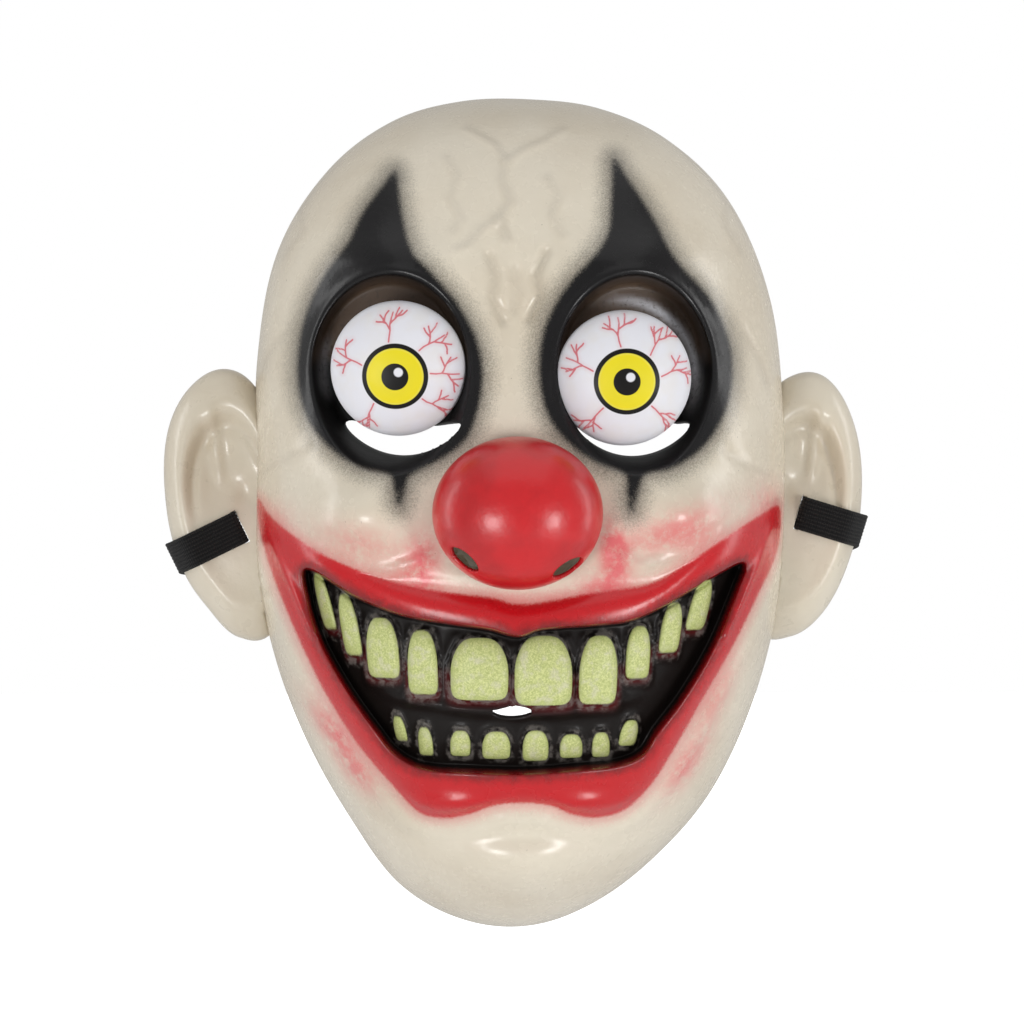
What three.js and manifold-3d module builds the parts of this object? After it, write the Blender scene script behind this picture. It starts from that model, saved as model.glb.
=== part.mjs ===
// Clown mask: one moulded plastic shell with ears, nose, lips and teeth, two bulging
// eyeballs on posts in its sockets, and an elastic strap.
// Millimetres, +Z up. The face looks along -Y and +X is at the viewer's right.
// The origin is the middle of the open back, in the plane of the shell's rear edge.

import * as THREE from 'three';
import { mergeVertices } from 'three/addons/utils/BufferGeometryUtils.js';
import Module from 'manifold-3d';

const wasm = await Module();
wasm.setup();

// Head shell
const FACE_WIDTH = 160;
const FACE_HEIGHT = 244;
const FACE_DEPTH = 80;
const WALL = 1.2;
const ROUNDNESS = 2.5;

// Ears
const EAR_WIDTH = 42;
const EAR_HEIGHT = 82;
const EAR_THICKNESS = 14;
const EAR_SETBACK = 6;
const HELIX_RISE = 3;
const CONCHA_DENT = 7;

// Nose ball
const NOSE_WIDTH = 48.4;
const NOSE_HEIGHT = 43.5;
const NOSE_LENGTH = 42;
const NOSE_FORWARD = 4;
const NOSTRIL_LENGTH = 10;
const NOSTRIL_WIDTH = 4;

// Eye sockets, eyeballs and the slits to see through
const EYE_DIAMETER = 38.6;
const EYE_EDGE = 2.5;
const EYE_BULGE = 11;
const SOCKET_MARGIN = 5.2;
const SOCKET_TALLER = 8.4;
const SOCKET_TAPER = 4.5;
const SOCKET_DEPTH = 18;
const SOCKET_TURN = 20;
const EYE_SEAT = 3;
const EYE_POST_DIAMETER = 10;
const SLIT_LENGTH = 33;
const SLIT_HEIGHT = 8;
const SLIT_SAG = 5;

// Mouth
const MOUTH_WIDTH = 153;
const MOUTH_HEIGHT = 88;
const MOUTH_DEPTH = 9;
const LIP_RISE = 2.5;
const UPPER_TOOTH_RISE = 3.5;
const LOWER_TOOTH_RISE = 2.5;
const BREATH_SLIT_WIDTH = 11.6;
const BREATH_SLIT_HEIGHT = 3.9;

// Elastic strap
const STRAP_WIDTH = 10;
const STRAP_THICKNESS = 1.2;
const STRAP_BACK = 112;
const STRAP_DROP = 10;
const STRAP_TAB = 8;
const SLOT_WIDTH = 3;
const SLOT_INSET = 4;
const SLOT_MARGIN = 1;

// Fits and fineness
const CLEARANCE = 0.3;
const HEAD_SPOKES = 52;
const HEAD_RINGS = 15;
const EAR_SPOKES = 28;
const EAR_RINGS = 7;
const ROUND_SIDES = 28;

// The shell's rear edge as seen from the front: how far the egg shape reaches at each
// turn, as a share of half the face's width and height. A turn of 90 is the crown.
const RIM = [
  { turn: 90, right: 1.016, left: 1.016 },
  { turn: 75, right: 1.043, left: 1.027 },
  { turn: 60, right: 1.083, left: 1.06 },
  { turn: 45, right: 1.114, left: 1.087 },
  { turn: 30, right: 1.098, left: 1.087 },
  { turn: 15, right: 1.045, left: 1.027 },
  { turn: 0, right: 1.018, left: 0.967 },
  { turn: -15, right: 1.017, left: 0.967 },
  { turn: -30, right: 1.012, left: 0.958 },
  { turn: -45, right: 1.01, left: 0.953 },
  { turn: -60, right: 1.0, left: 0.965 },
  { turn: -75, right: 1.006, left: 1.006 },
  { turn: -90, right: 1.019, left: 1.019 },
];

// An ear's edge in the same way. A turn of 0 points away from the head.
const EAR_RIM = [
  { turn: 90, right: 0.95, left: 0.98 },
  { turn: 60, right: 1.07, left: 1.085 },
  { turn: 30, right: 1.08, left: 1.148 },
  { turn: 0, right: 1.0, left: 1.03 },
  { turn: -30, right: 0.915, left: 0.92 },
  { turn: -60, right: 0.905, left: 0.862 },
  { turn: -90, right: 0.955, left: 0.955 },
  { turn: -120, right: 1.03, left: 1.03 },
  { turn: -150, right: 0.75, left: 0.75 },
  { turn: -180, right: 0.6, left: 0.6 },
  { turn: -210, right: 0.75, left: 0.75 },
  { turn: -240, right: 0.84, left: 0.84 },
];

// Bulges and hollows of the face. Places and spreads are shares of half the face's
// width (across, wide) and height (up, tall), the push is a share of its depth.
const RELIEF = [
  { name: 'brow', across: 0.45, up: 0.607, wide: 0.25, tall: 0.074, push: 0.062, pair: true },
  { name: 'nose root', across: 0, up: 0.426, wide: 0.088, tall: 0.164, push: -0.05, pair: false },
  { name: 'cheek', across: 0.6, up: 0.016, wide: 0.25, tall: 0.107, push: 0.112, pair: true },
  { name: 'muzzle', across: 0, up: -0.41, wide: 0.69, tall: 0.279, push: 0.1, pair: false },
  { name: 'chin', across: 0.037, up: -0.844, wide: 0.3, tall: 0.107, push: 0.15, pair: false },
  { name: 'chin dent', across: 0, up: -0.746, wide: 0.325, tall: 0.033, push: -0.037, pair: false },
  { name: 'temple', across: 0.9, up: 0.451, wide: 0.125, tall: 0.197, push: -0.062, pair: true },
  { name: 'jaw hollow', across: 0.725, up: -0.508, wide: 0.175, tall: 0.148, push: -0.037, pair: true },
];

// Outlines of the mouth as shares of half its width and of its height, measured from
// the middle of the face and from the corners' level.
const LIP_OUTLINE = [
  { across: -0.99, up: 0.056 },
  { across: -0.94, up: 0.006 },
  { across: -0.845, up: -0.054 },
  { across: -0.71, up: -0.119 },
  { across: -0.507, up: -0.186 },
  { across: -0.32, up: -0.221 },
  { across: -0.11, up: -0.244 },
  { across: 0.024, up: -0.266 },
  { across: 0.288, up: -0.229 },
  { across: 0.49, up: -0.203 },
  { across: 0.625, up: -0.143 },
  { across: 0.765, up: -0.067 },
  { across: 0.915, up: 0.002 },
  { across: 1.02, up: 0.028 },
  { across: 1.015, up: -0.106 },
  { across: 0.92, up: -0.26 },
  { across: 0.817, up: -0.424 },
  { across: 0.705, up: -0.586 },
  { across: 0.597, up: -0.749 },
  { across: 0.505, up: -0.875 },
  { across: 0.41, up: -0.953 },
  { across: 0.3, up: -0.976 },
  { across: 0.203, up: -0.959 },
  { across: 0.12, up: -0.927 },
  { across: 0.024, up: -0.918 },
  { across: -0.08, up: -0.925 },
  { across: -0.184, up: -0.959 },
  { across: -0.278, up: -0.976 },
  { across: -0.373, up: -0.957 },
  { across: -0.467, up: -0.873 },
  { across: -0.592, up: -0.749 },
  { across: -0.698, up: -0.61 },
  { across: -0.782, up: -0.474 },
  { across: -0.863, up: -0.322 },
  { across: -0.935, up: -0.169 },
  { across: -0.984, up: -0.032 },
];
const GAP_OUTLINE = [
  { across: -0.79, up: -0.161 },
  { across: -0.6, up: -0.248 },
  { across: -0.43, up: -0.302 },
  { across: -0.243, up: -0.328 },
  { across: -0.11, up: -0.343 },
  { across: -0.003, up: -0.366 },
  { across: 0.09, up: -0.343 },
  { across: 0.288, up: -0.332 },
  { across: 0.424, up: -0.318 },
  { across: 0.56, up: -0.269 },
  { across: 0.697, up: -0.204 },
  { across: 0.839, up: -0.146 },
  { across: 0.868, up: -0.165 },
  { across: 0.842, up: -0.221 },
  { across: 0.744, up: -0.414 },
  { across: 0.631, up: -0.576 },
  { across: 0.53, up: -0.689 },
  { across: 0.473, up: -0.765 },
  { across: 0.378, up: -0.799 },
  { across: 0.225, up: -0.81 },
  { across: 0.026, up: -0.819 },
  { across: -0.175, up: -0.816 },
  { across: -0.346, up: -0.809 },
  { across: -0.455, up: -0.766 },
  { across: -0.535, up: -0.684 },
  { across: -0.643, up: -0.553 },
  { across: -0.739, up: -0.404 },
  { across: -0.79, up: -0.264 },
];

// Teeth: middle, width and height as shares of half the mouth's width (across, wide)
// and of its height (up, tall). Lean is how far the top leans out, in degrees.
const UPPER_TEETH = [
  { across: -0.727, up: -0.269, wide: 0.054, tall: 0.185, lean: 14 },
  { across: -0.631, up: -0.344, wide: 0.07, tall: 0.2, lean: 10 },
  { across: -0.506, up: -0.416, wide: 0.124, tall: 0.195, lean: 4 },
  { across: -0.356, up: -0.459, wide: 0.115, tall: 0.207, lean: 2 },
  { across: -0.144, up: -0.478, wide: 0.22, tall: 0.2, lean: 0 },
  { across: 0.094, up: -0.483, wide: 0.221, tall: 0.223, lean: 0 },
  { across: 0.301, up: -0.483, wide: 0.148, tall: 0.22, lean: -2 },
  { across: 0.452, up: -0.429, wide: 0.095, tall: 0.17, lean: -3 },
  { across: 0.579, up: -0.352, wide: 0.082, tall: 0.162, lean: -8 },
  { across: 0.692, up: -0.279, wide: 0.08, tall: 0.166, lean: -14 },
];
const LOWER_TEETH = [
  { across: -0.441, up: -0.683, wide: 0.046, tall: 0.083, lean: 12 },
  { across: -0.345, up: -0.722, wide: 0.056, tall: 0.095, lean: 6 },
  { across: -0.214, up: -0.725, wide: 0.078, tall: 0.086, lean: 0 },
  { across: -0.08, up: -0.73, wide: 0.108, tall: 0.092, lean: 0 },
  { across: 0.067, up: -0.732, wide: 0.1, tall: 0.102, lean: 0 },
  { across: 0.201, up: -0.735, wide: 0.088, tall: 0.08, lean: 0 },
  { across: 0.314, up: -0.733, wide: 0.07, tall: 0.084, lean: 0 },
  { across: 0.421, up: -0.697, wide: 0.07, tall: 0.086, lean: -10 },
];

// Sockets, with the eyeball's and the slit's place in each, as shares of half the
// face's width (across) and height (up). The eyeball looks out and down by degrees.
const EYES = [
  {
    name: 'left', side: -1, across: -0.457, up: 0.342, ballAcross: -0.424, ballUp: 0.359,
    lookOut: 4, lookDown: 8, slitAcross: -0.411, slitUp: 0.185,
  },
  {
    name: 'right', side: 1, across: 0.42, up: 0.342, ballAcross: 0.376, ballUp: 0.336,
    lookOut: 2, lookDown: 5, slitAcross: 0.416, slitUp: 0.183,
  },
];

// Ears and the strap's way over them. Places are shares of half the face's width and
// height, the strap falls outwards by degrees.
const SIDES = [
  { name: 'left', side: -1, earAcross: -1.025, earUp: 0.016, strapUp: -0.03, strapFall: 26 },
  { name: 'right', side: 1, earAcross: 1.044, earUp: 0.016, strapUp: 0.003, strapFall: 17 },
];

// Nostril slits in the nose, as shares of half its width and height, with their slant.
const NOSTRILS = [
  { across: -0.63, up: -0.59, slant: -42 },
  { across: 0.58, up: -0.7, slant: 32 },
];
const NOSE_UP = 0.0215;
const NOSE_ACROSS = -0.004;
const BREATH_SLIT_UP = -0.62;
const BREATH_SLIT_ACROSS = -0.022;

// Looks
const LOOKS = {
  shell: { color: 0xd6cfbd, roughness: 0.25, metalness: 0 },
  eyeball: { color: 0xe4e4ea, roughness: 0.2, metalness: 0 },
  post: { color: 0xcfc8b8, roughness: 0.5, metalness: 0 },
  strap: { color: 0x1a1a1a, roughness: 0.9, metalness: 0 },
};

const radians = THREE.MathUtils.degToRad;
const halfWidth = FACE_WIDTH / 2;
const halfHeight = FACE_HEIGHT / 2;

// Turns a closed three.js geometry into a solid that can be joined and cut.
function solidOf(geometry) {
  const bare = geometry.index ? geometry.clone() : geometry;
  bare.deleteAttribute('normal');
  bare.deleteAttribute('uv');
  const merged = mergeVertices(bare, 1e-4);
  return new wasm.Manifold(new wasm.Mesh({
    numProp: 3,
    vertProperties: new Float32Array(merged.attributes.position.array),
    triVerts: new Uint32Array(merged.index.array),
  }));
}

// Turns a solid back into a named mesh.
function meshOf(solid, name, look) {
  const { vertProperties, triVerts } = solid.getMesh();
  const geometry = new THREE.BufferGeometry();
  geometry.setAttribute('position', new THREE.BufferAttribute(vertProperties, 3));
  geometry.setIndex(new THREE.BufferAttribute(triVerts, 1));
  const mesh = new THREE.Mesh(geometry, new THREE.MeshStandardMaterial(look));
  mesh.name = name;
  return mesh;
}

// A smooth closed curve of reach over turn, through evenly spaced values.
function smoothRing(values) {
  const count = values.length;
  return (turn) => {
    const place = (((turn / (2 * Math.PI)) % 1) + 1) % 1 * count;
    const at = Math.floor(place);
    const t = place - at;
    const [a, b, c, d] = [-1, 0, 1, 2].map((step) => values[(at + step + count) % count]);
    const cubic = (-a + 3 * b - 3 * c + d) * t ** 3;
    return 0.5 * (2 * b + (c - a) * t + (2 * a - 5 * b + 4 * c - d) * t ** 2 + cubic);
  };
}

function headReach() {
  const step = 15;
  const values = [];
  for (let turn = 0; turn < 360; turn += step) {
    const onRight = turn <= 90 || turn >= 270;
    const facing = onRight ? turn : 180 - turn;
    const row = RIM.find((rim) => (rim.turn + 360) % 360 === (facing + 360) % 360);
    values.push(onRight ? row.right : row.left);
  }
  return smoothRing(values);
}

function earReach(side) {
  const step = 30;
  const column = side > 0 ? 'right' : 'left';
  const values = [];
  for (let turn = 0; turn < 360; turn += step) {
    const row = EAR_RIM.find((rim) => (rim.turn + 360) % 360 === turn);
    values.push(row[column]);
  }
  return smoothRing(values);
}

// A smooth closed outline in the face's own plane, as points [across, up].
function outlineOf(rows, wide, tall) {
  const knots = rows.map((row) => new THREE.Vector3(row.across * wide, row.up * tall, 0));
  const curve = new THREE.CatmullRomCurve3(knots, true, 'centripetal');
  const points = curve.getPoints(1.3 * rows.length);
  points.pop();
  return points.map((point) => [point.x, point.y]);
}

function distanceTo(outline, x, z) {
  let nearest = Infinity;
  outline.forEach(([ax, az], i) => {
    const [bx, bz] = outline[(i + 1) % outline.length];
    const along = ((x - ax) * (bx - ax) + (z - az) * (bz - az)) / ((bx - ax) ** 2 + (bz - az) ** 2);
    const t = Math.min(1, Math.max(0, along));
    nearest = Math.min(nearest, Math.hypot(x - ax - t * (bx - ax), z - az - t * (bz - az)));
  });
  return nearest;
}

function contains(outline, x, z) {
  let inside = false;
  outline.forEach(([ax, az], i) => {
    const [bx, bz] = outline[(i + 1) % outline.length];
    if (az > z !== bz > z && x < ax + ((z - az) / (bz - az)) * (bx - ax)) inside = !inside;
  });
  return inside;
}

// Moves each point of an outline outwards by a distance.
function grown(outline, distance) {
  const area = outline.reduce((sum, [ax, az], i) => {
    const [bx, bz] = outline[(i + 1) % outline.length];
    return sum + ax * bz - bx * az;
  }, 0);
  const sign = area > 0 ? 1 : -1;
  return outline.map(([x, z], i) => {
    const [px, pz] = outline[(i + outline.length - 1) % outline.length];
    const [nx, nz] = outline[(i + 1) % outline.length];
    const length = Math.hypot(nx - px, nz - pz);
    return [x + (sign * distance * (nz - pz)) / length, z - (sign * distance * (nx - px)) / length];
  });
}

const lipOutline = outlineOf(LIP_OUTLINE, MOUTH_WIDTH / 2, MOUTH_HEIGHT);
const gapOutline = outlineOf(GAP_OUTLINE, MOUTH_WIDTH / 2, MOUTH_HEIGHT);
const reachOfHead = headReach();

// Share of the way from the middle of the face to the rear edge.
function headShare(x, z) {
  const across = x / halfWidth;
  const up = z / halfHeight;
  return Math.hypot(across, up) / reachOfHead(Math.atan2(up, across));
}

function reliefAt(x, z) {
  return RELIEF.reduce((sum, bump) => {
    const bell = (across) => Math.exp(
      -(((x / halfWidth - across) / bump.wide) ** 2) - ((z / halfHeight - bump.up) / bump.tall) ** 2,
    );
    const pair = bump.pair ? bell(-bump.across) : 0;
    return sum + bump.push * FACE_DEPTH * (bell(bump.across) + pair);
  }, 0);
}

// Lips stand up between the two outlines of the mouth and round off on both sides.
function lipAt(x, z) {
  if (!contains(lipOutline, x, z) || contains(gapOutline, x, z)) return 0;
  const outer = distanceTo(lipOutline, x, z);
  const inner = distanceTo(gapOutline, x, z);
  return LIP_RISE * Math.sin(0.75 * Math.PI * (outer / (outer + inner)) ** 0.8);
}

// How far the face stands in front of its rear edge.
function headDepth(x, z) {
  const share = Math.min(1, headShare(x, z));
  const dome = FACE_DEPTH * (1 - share ** ROUNDNESS) ** (1 / ROUNDNESS);
  return dome + (reliefAt(x, z) + lipAt(x, z)) * (1 - share ** 6);
}

// A domed body over an egg-shaped outline. Rings of points run from the middle to the
// edge. Inset moves the skin inwards, and behind carries it on past the rear plane.
function domedBody({ middle, wide, tall, reach, side, depth, spokes, rings, rear }, inset, behind) {
  const positions = [middle[0], rear - depth(middle[0], middle[1]), middle[1]];
  const index = [];
  for (let ring = 1; ring <= rings; ring += 1) {
    const share = Math.sin((ring / rings) * (Math.PI / 2));
    for (let spoke = 0; spoke < spokes; spoke += 1) {
      const turn = (spoke / spokes) * 2 * Math.PI;
      const x = middle[0] + side * share * reach(turn) * wide * Math.cos(turn);
      const z = middle[1] + share * reach(turn) * tall * Math.sin(turn);
      positions.push(x, rear - (ring === rings ? 0 : depth(x, z)), z);
    }
  }
  const at = (ring, spoke) => 1 + (ring - 1) * spokes + (spoke % spokes);
  for (let spoke = 0; spoke < spokes; spoke += 1) {
    index.push(0, at(1, spoke), at(1, spoke + 1));
    for (let ring = 1; ring < rings; ring += 1) {
      index.push(at(ring, spoke), at(ring + 1, spoke), at(ring + 1, spoke + 1));
      index.push(at(ring, spoke), at(ring + 1, spoke + 1), at(ring, spoke + 1));
    }
  }
  const skin = new THREE.BufferGeometry();
  skin.setAttribute('position', new THREE.Float32BufferAttribute(positions, 3));
  skin.setIndex(index);
  skin.computeVertexNormals();
  const normals = skin.attributes.normal;
  for (let i = 0; i < positions.length / 3; i += 1) {
    const normal = new THREE.Vector3().fromBufferAttribute(normals, i).multiplyScalar(side);
    const onEdge = i >= at(rings, 0);
    if (onEdge) normal.setY(0).normalize();
    positions[3 * i] -= inset * normal.x;
    positions[3 * i + 1] -= inset * normal.y;
    positions[3 * i + 2] -= inset * normal.z;
  }
  const rearRing = positions.length / 3;
  for (let spoke = 0; spoke < spokes; spoke += 1) {
    const from = 3 * at(rings, spoke);
    positions.push(positions[from], rear + behind, positions[from + 2]);
  }
  const rearMiddle = positions.length / 3;
  positions.push(middle[0], rear + behind, middle[1]);
  for (let spoke = 0; spoke < spokes; spoke += 1) {
    const next = (spoke + 1) % spokes;
    if (behind > 0) {
      index.push(at(rings, spoke), rearRing + spoke, rearRing + next);
      index.push(at(rings, spoke), rearRing + next, at(rings, next));
      index.push(rearMiddle, rearRing + next, rearRing + spoke);
    } else {
      index.push(rearMiddle, at(rings, next), at(rings, spoke));
    }
  }
  if (side < 0) {
    for (let i = 0; i < index.length; i += 3) [index[i], index[i + 1]] = [index[i + 1], index[i]];
  }
  const used = behind > 0 ? positions : dropRing(positions, rearRing, spokes, index, rearMiddle);
  const closed = new THREE.BufferGeometry();
  closed.setAttribute('position', new THREE.Float32BufferAttribute(used, 3));
  closed.setIndex(index);
  return solidOf(closed);
}

// Leaves out the unused ring behind the rear plane and renumbers the middle point.
function dropRing(positions, rearRing, spokes, index, rearMiddle) {
  for (let i = 0; i < index.length; i += 1) {
    if (index[i] === rearMiddle) index[i] = rearRing;
  }
  return [...positions.slice(0, 3 * rearRing), ...positions.slice(3 * rearMiddle)];
}

const HOLLOW_PAST_REAR = 10;

const headForm = {
  middle: [0, 0],
  wide: halfWidth,
  tall: halfHeight,
  reach: reachOfHead,
  side: 1,
  depth: headDepth,
  spokes: HEAD_SPOKES,
  rings: HEAD_RINGS,
  rear: 0,
};

// How far an ear stands in front of its own rear edge: a flat dome with a rolled
// edge round it and a hollow in its upper part.
function earForm({ side, earAcross, earUp }) {
  const middle = [earAcross * halfWidth, earUp * halfHeight];
  const reach = earReach(side);
  const wide = EAR_WIDTH / 2;
  const tall = EAR_HEIGHT / 2;
  const depth = (x, z) => {
    const across = ((x - middle[0]) * side) / wide;
    const up = (z - middle[1]) / tall;
    const share = Math.min(1, Math.hypot(across, up) / reach(Math.atan2(up, across)));
    const dome = EAR_THICKNESS * (1 - share ** 4) ** (1 / ROUNDNESS);
    const helix = HELIX_RISE * Math.exp(-(((share - 0.78) / 0.13) ** 2));
    const concha = CONCHA_DENT * Math.exp(-(((across - 0.3) / 0.4) ** 2) - ((up - 0.38) / 0.36) ** 2);
    return dome + (helix - concha) * (1 - share ** 4);
  };
  return {
    middle, wide, tall, reach, side, depth,
    spokes: EAR_SPOKES, rings: EAR_RINGS, rear: -EAR_SETBACK,
  };
}

// A straight prism over an outline [across, up], from front to rear along Y.
function prism(outline, front, rear) {
  const shape = new THREE.Shape(outline.map(([x, z]) => new THREE.Vector2(x, z)));
  const geometry = new THREE.ExtrudeGeometry(shape, { depth: rear - front, bevelEnabled: false });
  geometry.rotateX(Math.PI / 2);
  geometry.translate(0, rear, 0);
  return solidOf(geometry);
}

function ellipse(x, z, wide, tall, slant, sides) {
  return Array.from({ length: sides }, (_, i) => {
    const turn = (i / sides) * 2 * Math.PI;
    const across = (wide / 2) * Math.cos(turn);
    const up = (tall / 2) * Math.sin(turn);
    const c = Math.cos(radians(slant));
    const s = Math.sin(radians(slant));
    return [x + across * c - up * s, z + across * s + up * c];
  });
}

// The front end of every cut that has to pass right through the face.
const AHEAD = -(FACE_DEPTH + NOSE_LENGTH + NOSE_FORWARD + 20);

// An eye socket: a tapered oval cup, turned outwards with the face. Grow makes the
// cup's outer skin, one wall further out.
function socketCup(eye, grow) {
  const wide = EYE_DIAMETER / 2 + SOCKET_MARGIN + grow;
  const tall = (EYE_DIAMETER + SOCKET_TALLER) / 2 + SOCKET_MARGIN + grow;
  const floor = wide - SOCKET_TAPER;
  const corner = 0.12 * SOCKET_DEPTH;
  const ahead = SOCKET_DEPTH + NOSE_LENGTH;
  const profile = [
    [0, -grow],
    [floor - corner, -grow],
    [floor, corner - grow],
    [wide, SOCKET_DEPTH],
    [wide, ahead],
    [0, ahead],
  ].map(([r, h]) => new THREE.Vector2(Math.max(0, r), h));
  const cup = new THREE.LatheGeometry(profile, ROUND_SIDES);
  cup.rotateX(Math.PI);
  cup.scale(1, 1, tall / wide);
  cup.translate(0, SOCKET_DEPTH, 0);
  cup.rotateZ(radians(eye.side * SOCKET_TURN));
  const x = eye.across * halfWidth;
  const z = eye.up * halfHeight;
  cup.translate(x, -headDepth(x, z), z);
  return solidOf(cup);
}

// A slit to see through: a long oval whose ends curve up.
function eyeSlit(eye) {
  const sides = ROUND_SIDES;
  const outline = Array.from({ length: sides }, (_, i) => {
    const turn = (i / sides) * 2 * Math.PI;
    const along = Math.cos(turn);
    const half = (SLIT_HEIGHT / 2) * Math.sin(turn);
    const x = eye.slitAcross * halfWidth + (along * SLIT_LENGTH) / 2;
    return [x, eye.slitUp * halfHeight + SLIT_SAG * along ** 2 + half];
  });
  const face = headDepth(eye.slitAcross * halfWidth, eye.slitUp * halfHeight);
  return prism(outline, 0.4 * SOCKET_DEPTH - face, 2 * SOCKET_DEPTH - face);
}

// The nose ball, seated on the face, or its hollow.
function noseBall(inset, sides) {
  const x = NOSE_ACROSS * halfWidth;
  const z = NOSE_UP * halfHeight;
  const ball = new THREE.SphereGeometry(1, sides, Math.round(sides * 0.6));
  ball.scale(NOSE_WIDTH / 2 - inset, NOSE_LENGTH / 2 - inset, NOSE_HEIGHT / 2 - inset);
  ball.translate(x, -headDepth(x, z) - NOSE_FORWARD, z);
  return solidOf(ball);
}

function nostril({ across, up, slant }) {
  const x = NOSE_ACROSS * halfWidth + (across * NOSE_WIDTH) / 2;
  const z = NOSE_UP * halfHeight + (up * NOSE_HEIGHT) / 2;
  const face = headDepth(x, z);
  return prism(ellipse(x, z, NOSTRIL_LENGTH, NOSTRIL_WIDTH, slant, 16), AHEAD, -face - 1);
}

// A tooth: a rounded block standing out of the mouth's floor.
function tooth(row, rise, floor) {
  const x = (row.across * MOUTH_WIDTH) / 2;
  const z = row.up * MOUTH_HEIGHT;
  const wide = (row.wide * MOUTH_WIDTH) / 2;
  const tall = row.tall * MOUTH_HEIGHT;
  const sides = 10;
  const outline = Array.from({ length: sides }, (_, i) => {
    const turn = ((i + 0.5) / sides) * 2 * Math.PI;
    const squared = (value) => Math.sign(value) * Math.abs(value) ** 0.55;
    const across = (wide / 2) * squared(Math.cos(turn));
    const up = (tall / 2) * squared(Math.sin(turn));
    const lean = Math.tan(radians(row.lean));
    return [x + across - up * lean, z + up];
  });
  return prism(outline, AHEAD, 0).intersect(floor.translate([0, MOUTH_DEPTH - rise, 0]));
}

// Where a strap passes through the ear's front wall, just outside the cheek.
function slotPlace({ side, strapUp }) {
  const z = strapUp * halfHeight;
  const reach = reachOfHead(side > 0 ? 0 : Math.PI) * halfWidth;
  return [side * (reach + SLOT_INSET), z];
}

function strapSlot(place) {
  const [x, z] = slotPlace(place);
  const front = EAR_SETBACK + EAR_THICKNESS + HELIX_RISE;
  const slot = new THREE.BoxGeometry(SLOT_WIDTH, front, STRAP_WIDTH + 2 * SLOT_MARGIN);
  slot.rotateY(radians(place.side * place.strapFall));
  slot.translate(x, -front, z);
  return solidOf(slot);
}

function maskShell() {
  const head = domedBody(headForm, 0, 0);
  const hollow = domedBody(headForm, WALL, HOLLOW_PAST_REAR);
  const floorBack = domedBody(headForm, WALL, 0);
  const mouth = prism(gapOutline, AHEAD, 0).subtract(head.translate([0, MOUTH_DEPTH, 0]));
  const mouthBack = prism(grown(gapOutline, WALL), AHEAD, 0)
    .subtract(floorBack.translate([0, MOUTH_DEPTH, 0]));
  const ears = SIDES.map(earForm);

  let outside = head.subtract(mouth);
  UPPER_TEETH.forEach((row) => {
    outside = outside.add(tooth(row, UPPER_TOOTH_RISE, head));
  });
  LOWER_TEETH.forEach((row) => {
    outside = outside.add(tooth(row, LOWER_TOOTH_RISE, head));
  });
  ears.forEach((ear) => {
    outside = outside.add(domedBody(ear, 0, 0));
  });
  EYES.forEach((eye) => {
    outside = outside.subtract(socketCup(eye, 0));
  });
  outside = outside.add(noseBall(0, ROUND_SIDES));

  let inside = hollow.subtract(mouthBack);
  EYES.forEach((eye) => {
    inside = inside.subtract(socketCup(eye, WALL));
  });
  inside = inside.add(noseBall(WALL, ROUND_SIDES - 8));
  ears.forEach((ear) => {
    inside = inside.add(domedBody(ear, WALL, EAR_SETBACK + HOLLOW_PAST_REAR));
  });

  let shell = outside.subtract(inside);
  EYES.forEach((eye) => {
    shell = shell.subtract(eyeSlit(eye));
  });
  NOSTRILS.forEach((row) => {
    shell = shell.subtract(nostril(row));
  });
  SIDES.forEach((place) => {
    shell = shell.subtract(strapSlot(place));
  });
  const breath = ellipse(
    (BREATH_SLIT_ACROSS * MOUTH_WIDTH) / 2, BREATH_SLIT_UP * MOUTH_HEIGHT,
    BREATH_SLIT_WIDTH, BREATH_SLIT_HEIGHT, 0, 16,
  );
  return shell.subtract(prism(breath, AHEAD, 0));
}

// Where an eyeball sits: its back's middle, and its look outwards and down.
function eyePlace(eye) {
  const x = eye.ballAcross * halfWidth;
  const z = eye.ballUp * halfHeight;
  const socketFace = headDepth(eye.across * halfWidth, eye.up * halfHeight);
  const position = new THREE.Vector3(x, EYE_SEAT - socketFace, z);
  const lookDown = radians(eye.lookDown);
  const lookOut = radians(eye.side * eye.lookOut);
  return { position, rotation: new THREE.Euler(lookDown, 0, lookOut, 'ZXY') };
}

// An eyeball: a flat-backed dome on a short straight edge, looking along -Y.
function eyeball(eye) {
  const radius = EYE_DIAMETER / 2;
  const steps = 7;
  const profile = [new THREE.Vector2(0, 0), new THREE.Vector2(radius, 0)];
  for (let step = 0; step <= steps; step += 1) {
    const turn = (step / steps) * (Math.PI / 2);
    const across = step === steps ? 0 : radius * Math.cos(turn);
    profile.push(new THREE.Vector2(across, EYE_EDGE + EYE_BULGE * Math.sin(turn)));
  }
  const dome = new THREE.LatheGeometry(profile, ROUND_SIDES);
  dome.rotateX(Math.PI);
  const { position, rotation } = eyePlace(eye);
  const mesh = meshOf(solidOf(dome), `eyeball_${eye.name}`, LOOKS.eyeball);
  mesh.position.copy(position);
  mesh.rotation.copy(rotation);
  return mesh;
}

// The post behind an eyeball. It runs square to the eyeball's back and its foot
// follows the socket's floor.
function eyePost(eye) {
  const length = 2 * SOCKET_DEPTH;
  const radius = EYE_POST_DIAMETER / 2;
  const post = new THREE.CylinderGeometry(radius, radius, length, 16);
  post.translate(0, length / 2 + CLEARANCE, 0);
  const { position, rotation } = eyePlace(eye);
  post.applyMatrix4(new THREE.Matrix4().makeRotationFromEuler(rotation).setPosition(position));
  const room = socketCup(eye, 0).translate([0, -CLEARANCE, 0]);
  return meshOf(solidOf(post).intersect(room), `eye_post_${eye.name}`, LOOKS.post);
}

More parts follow.
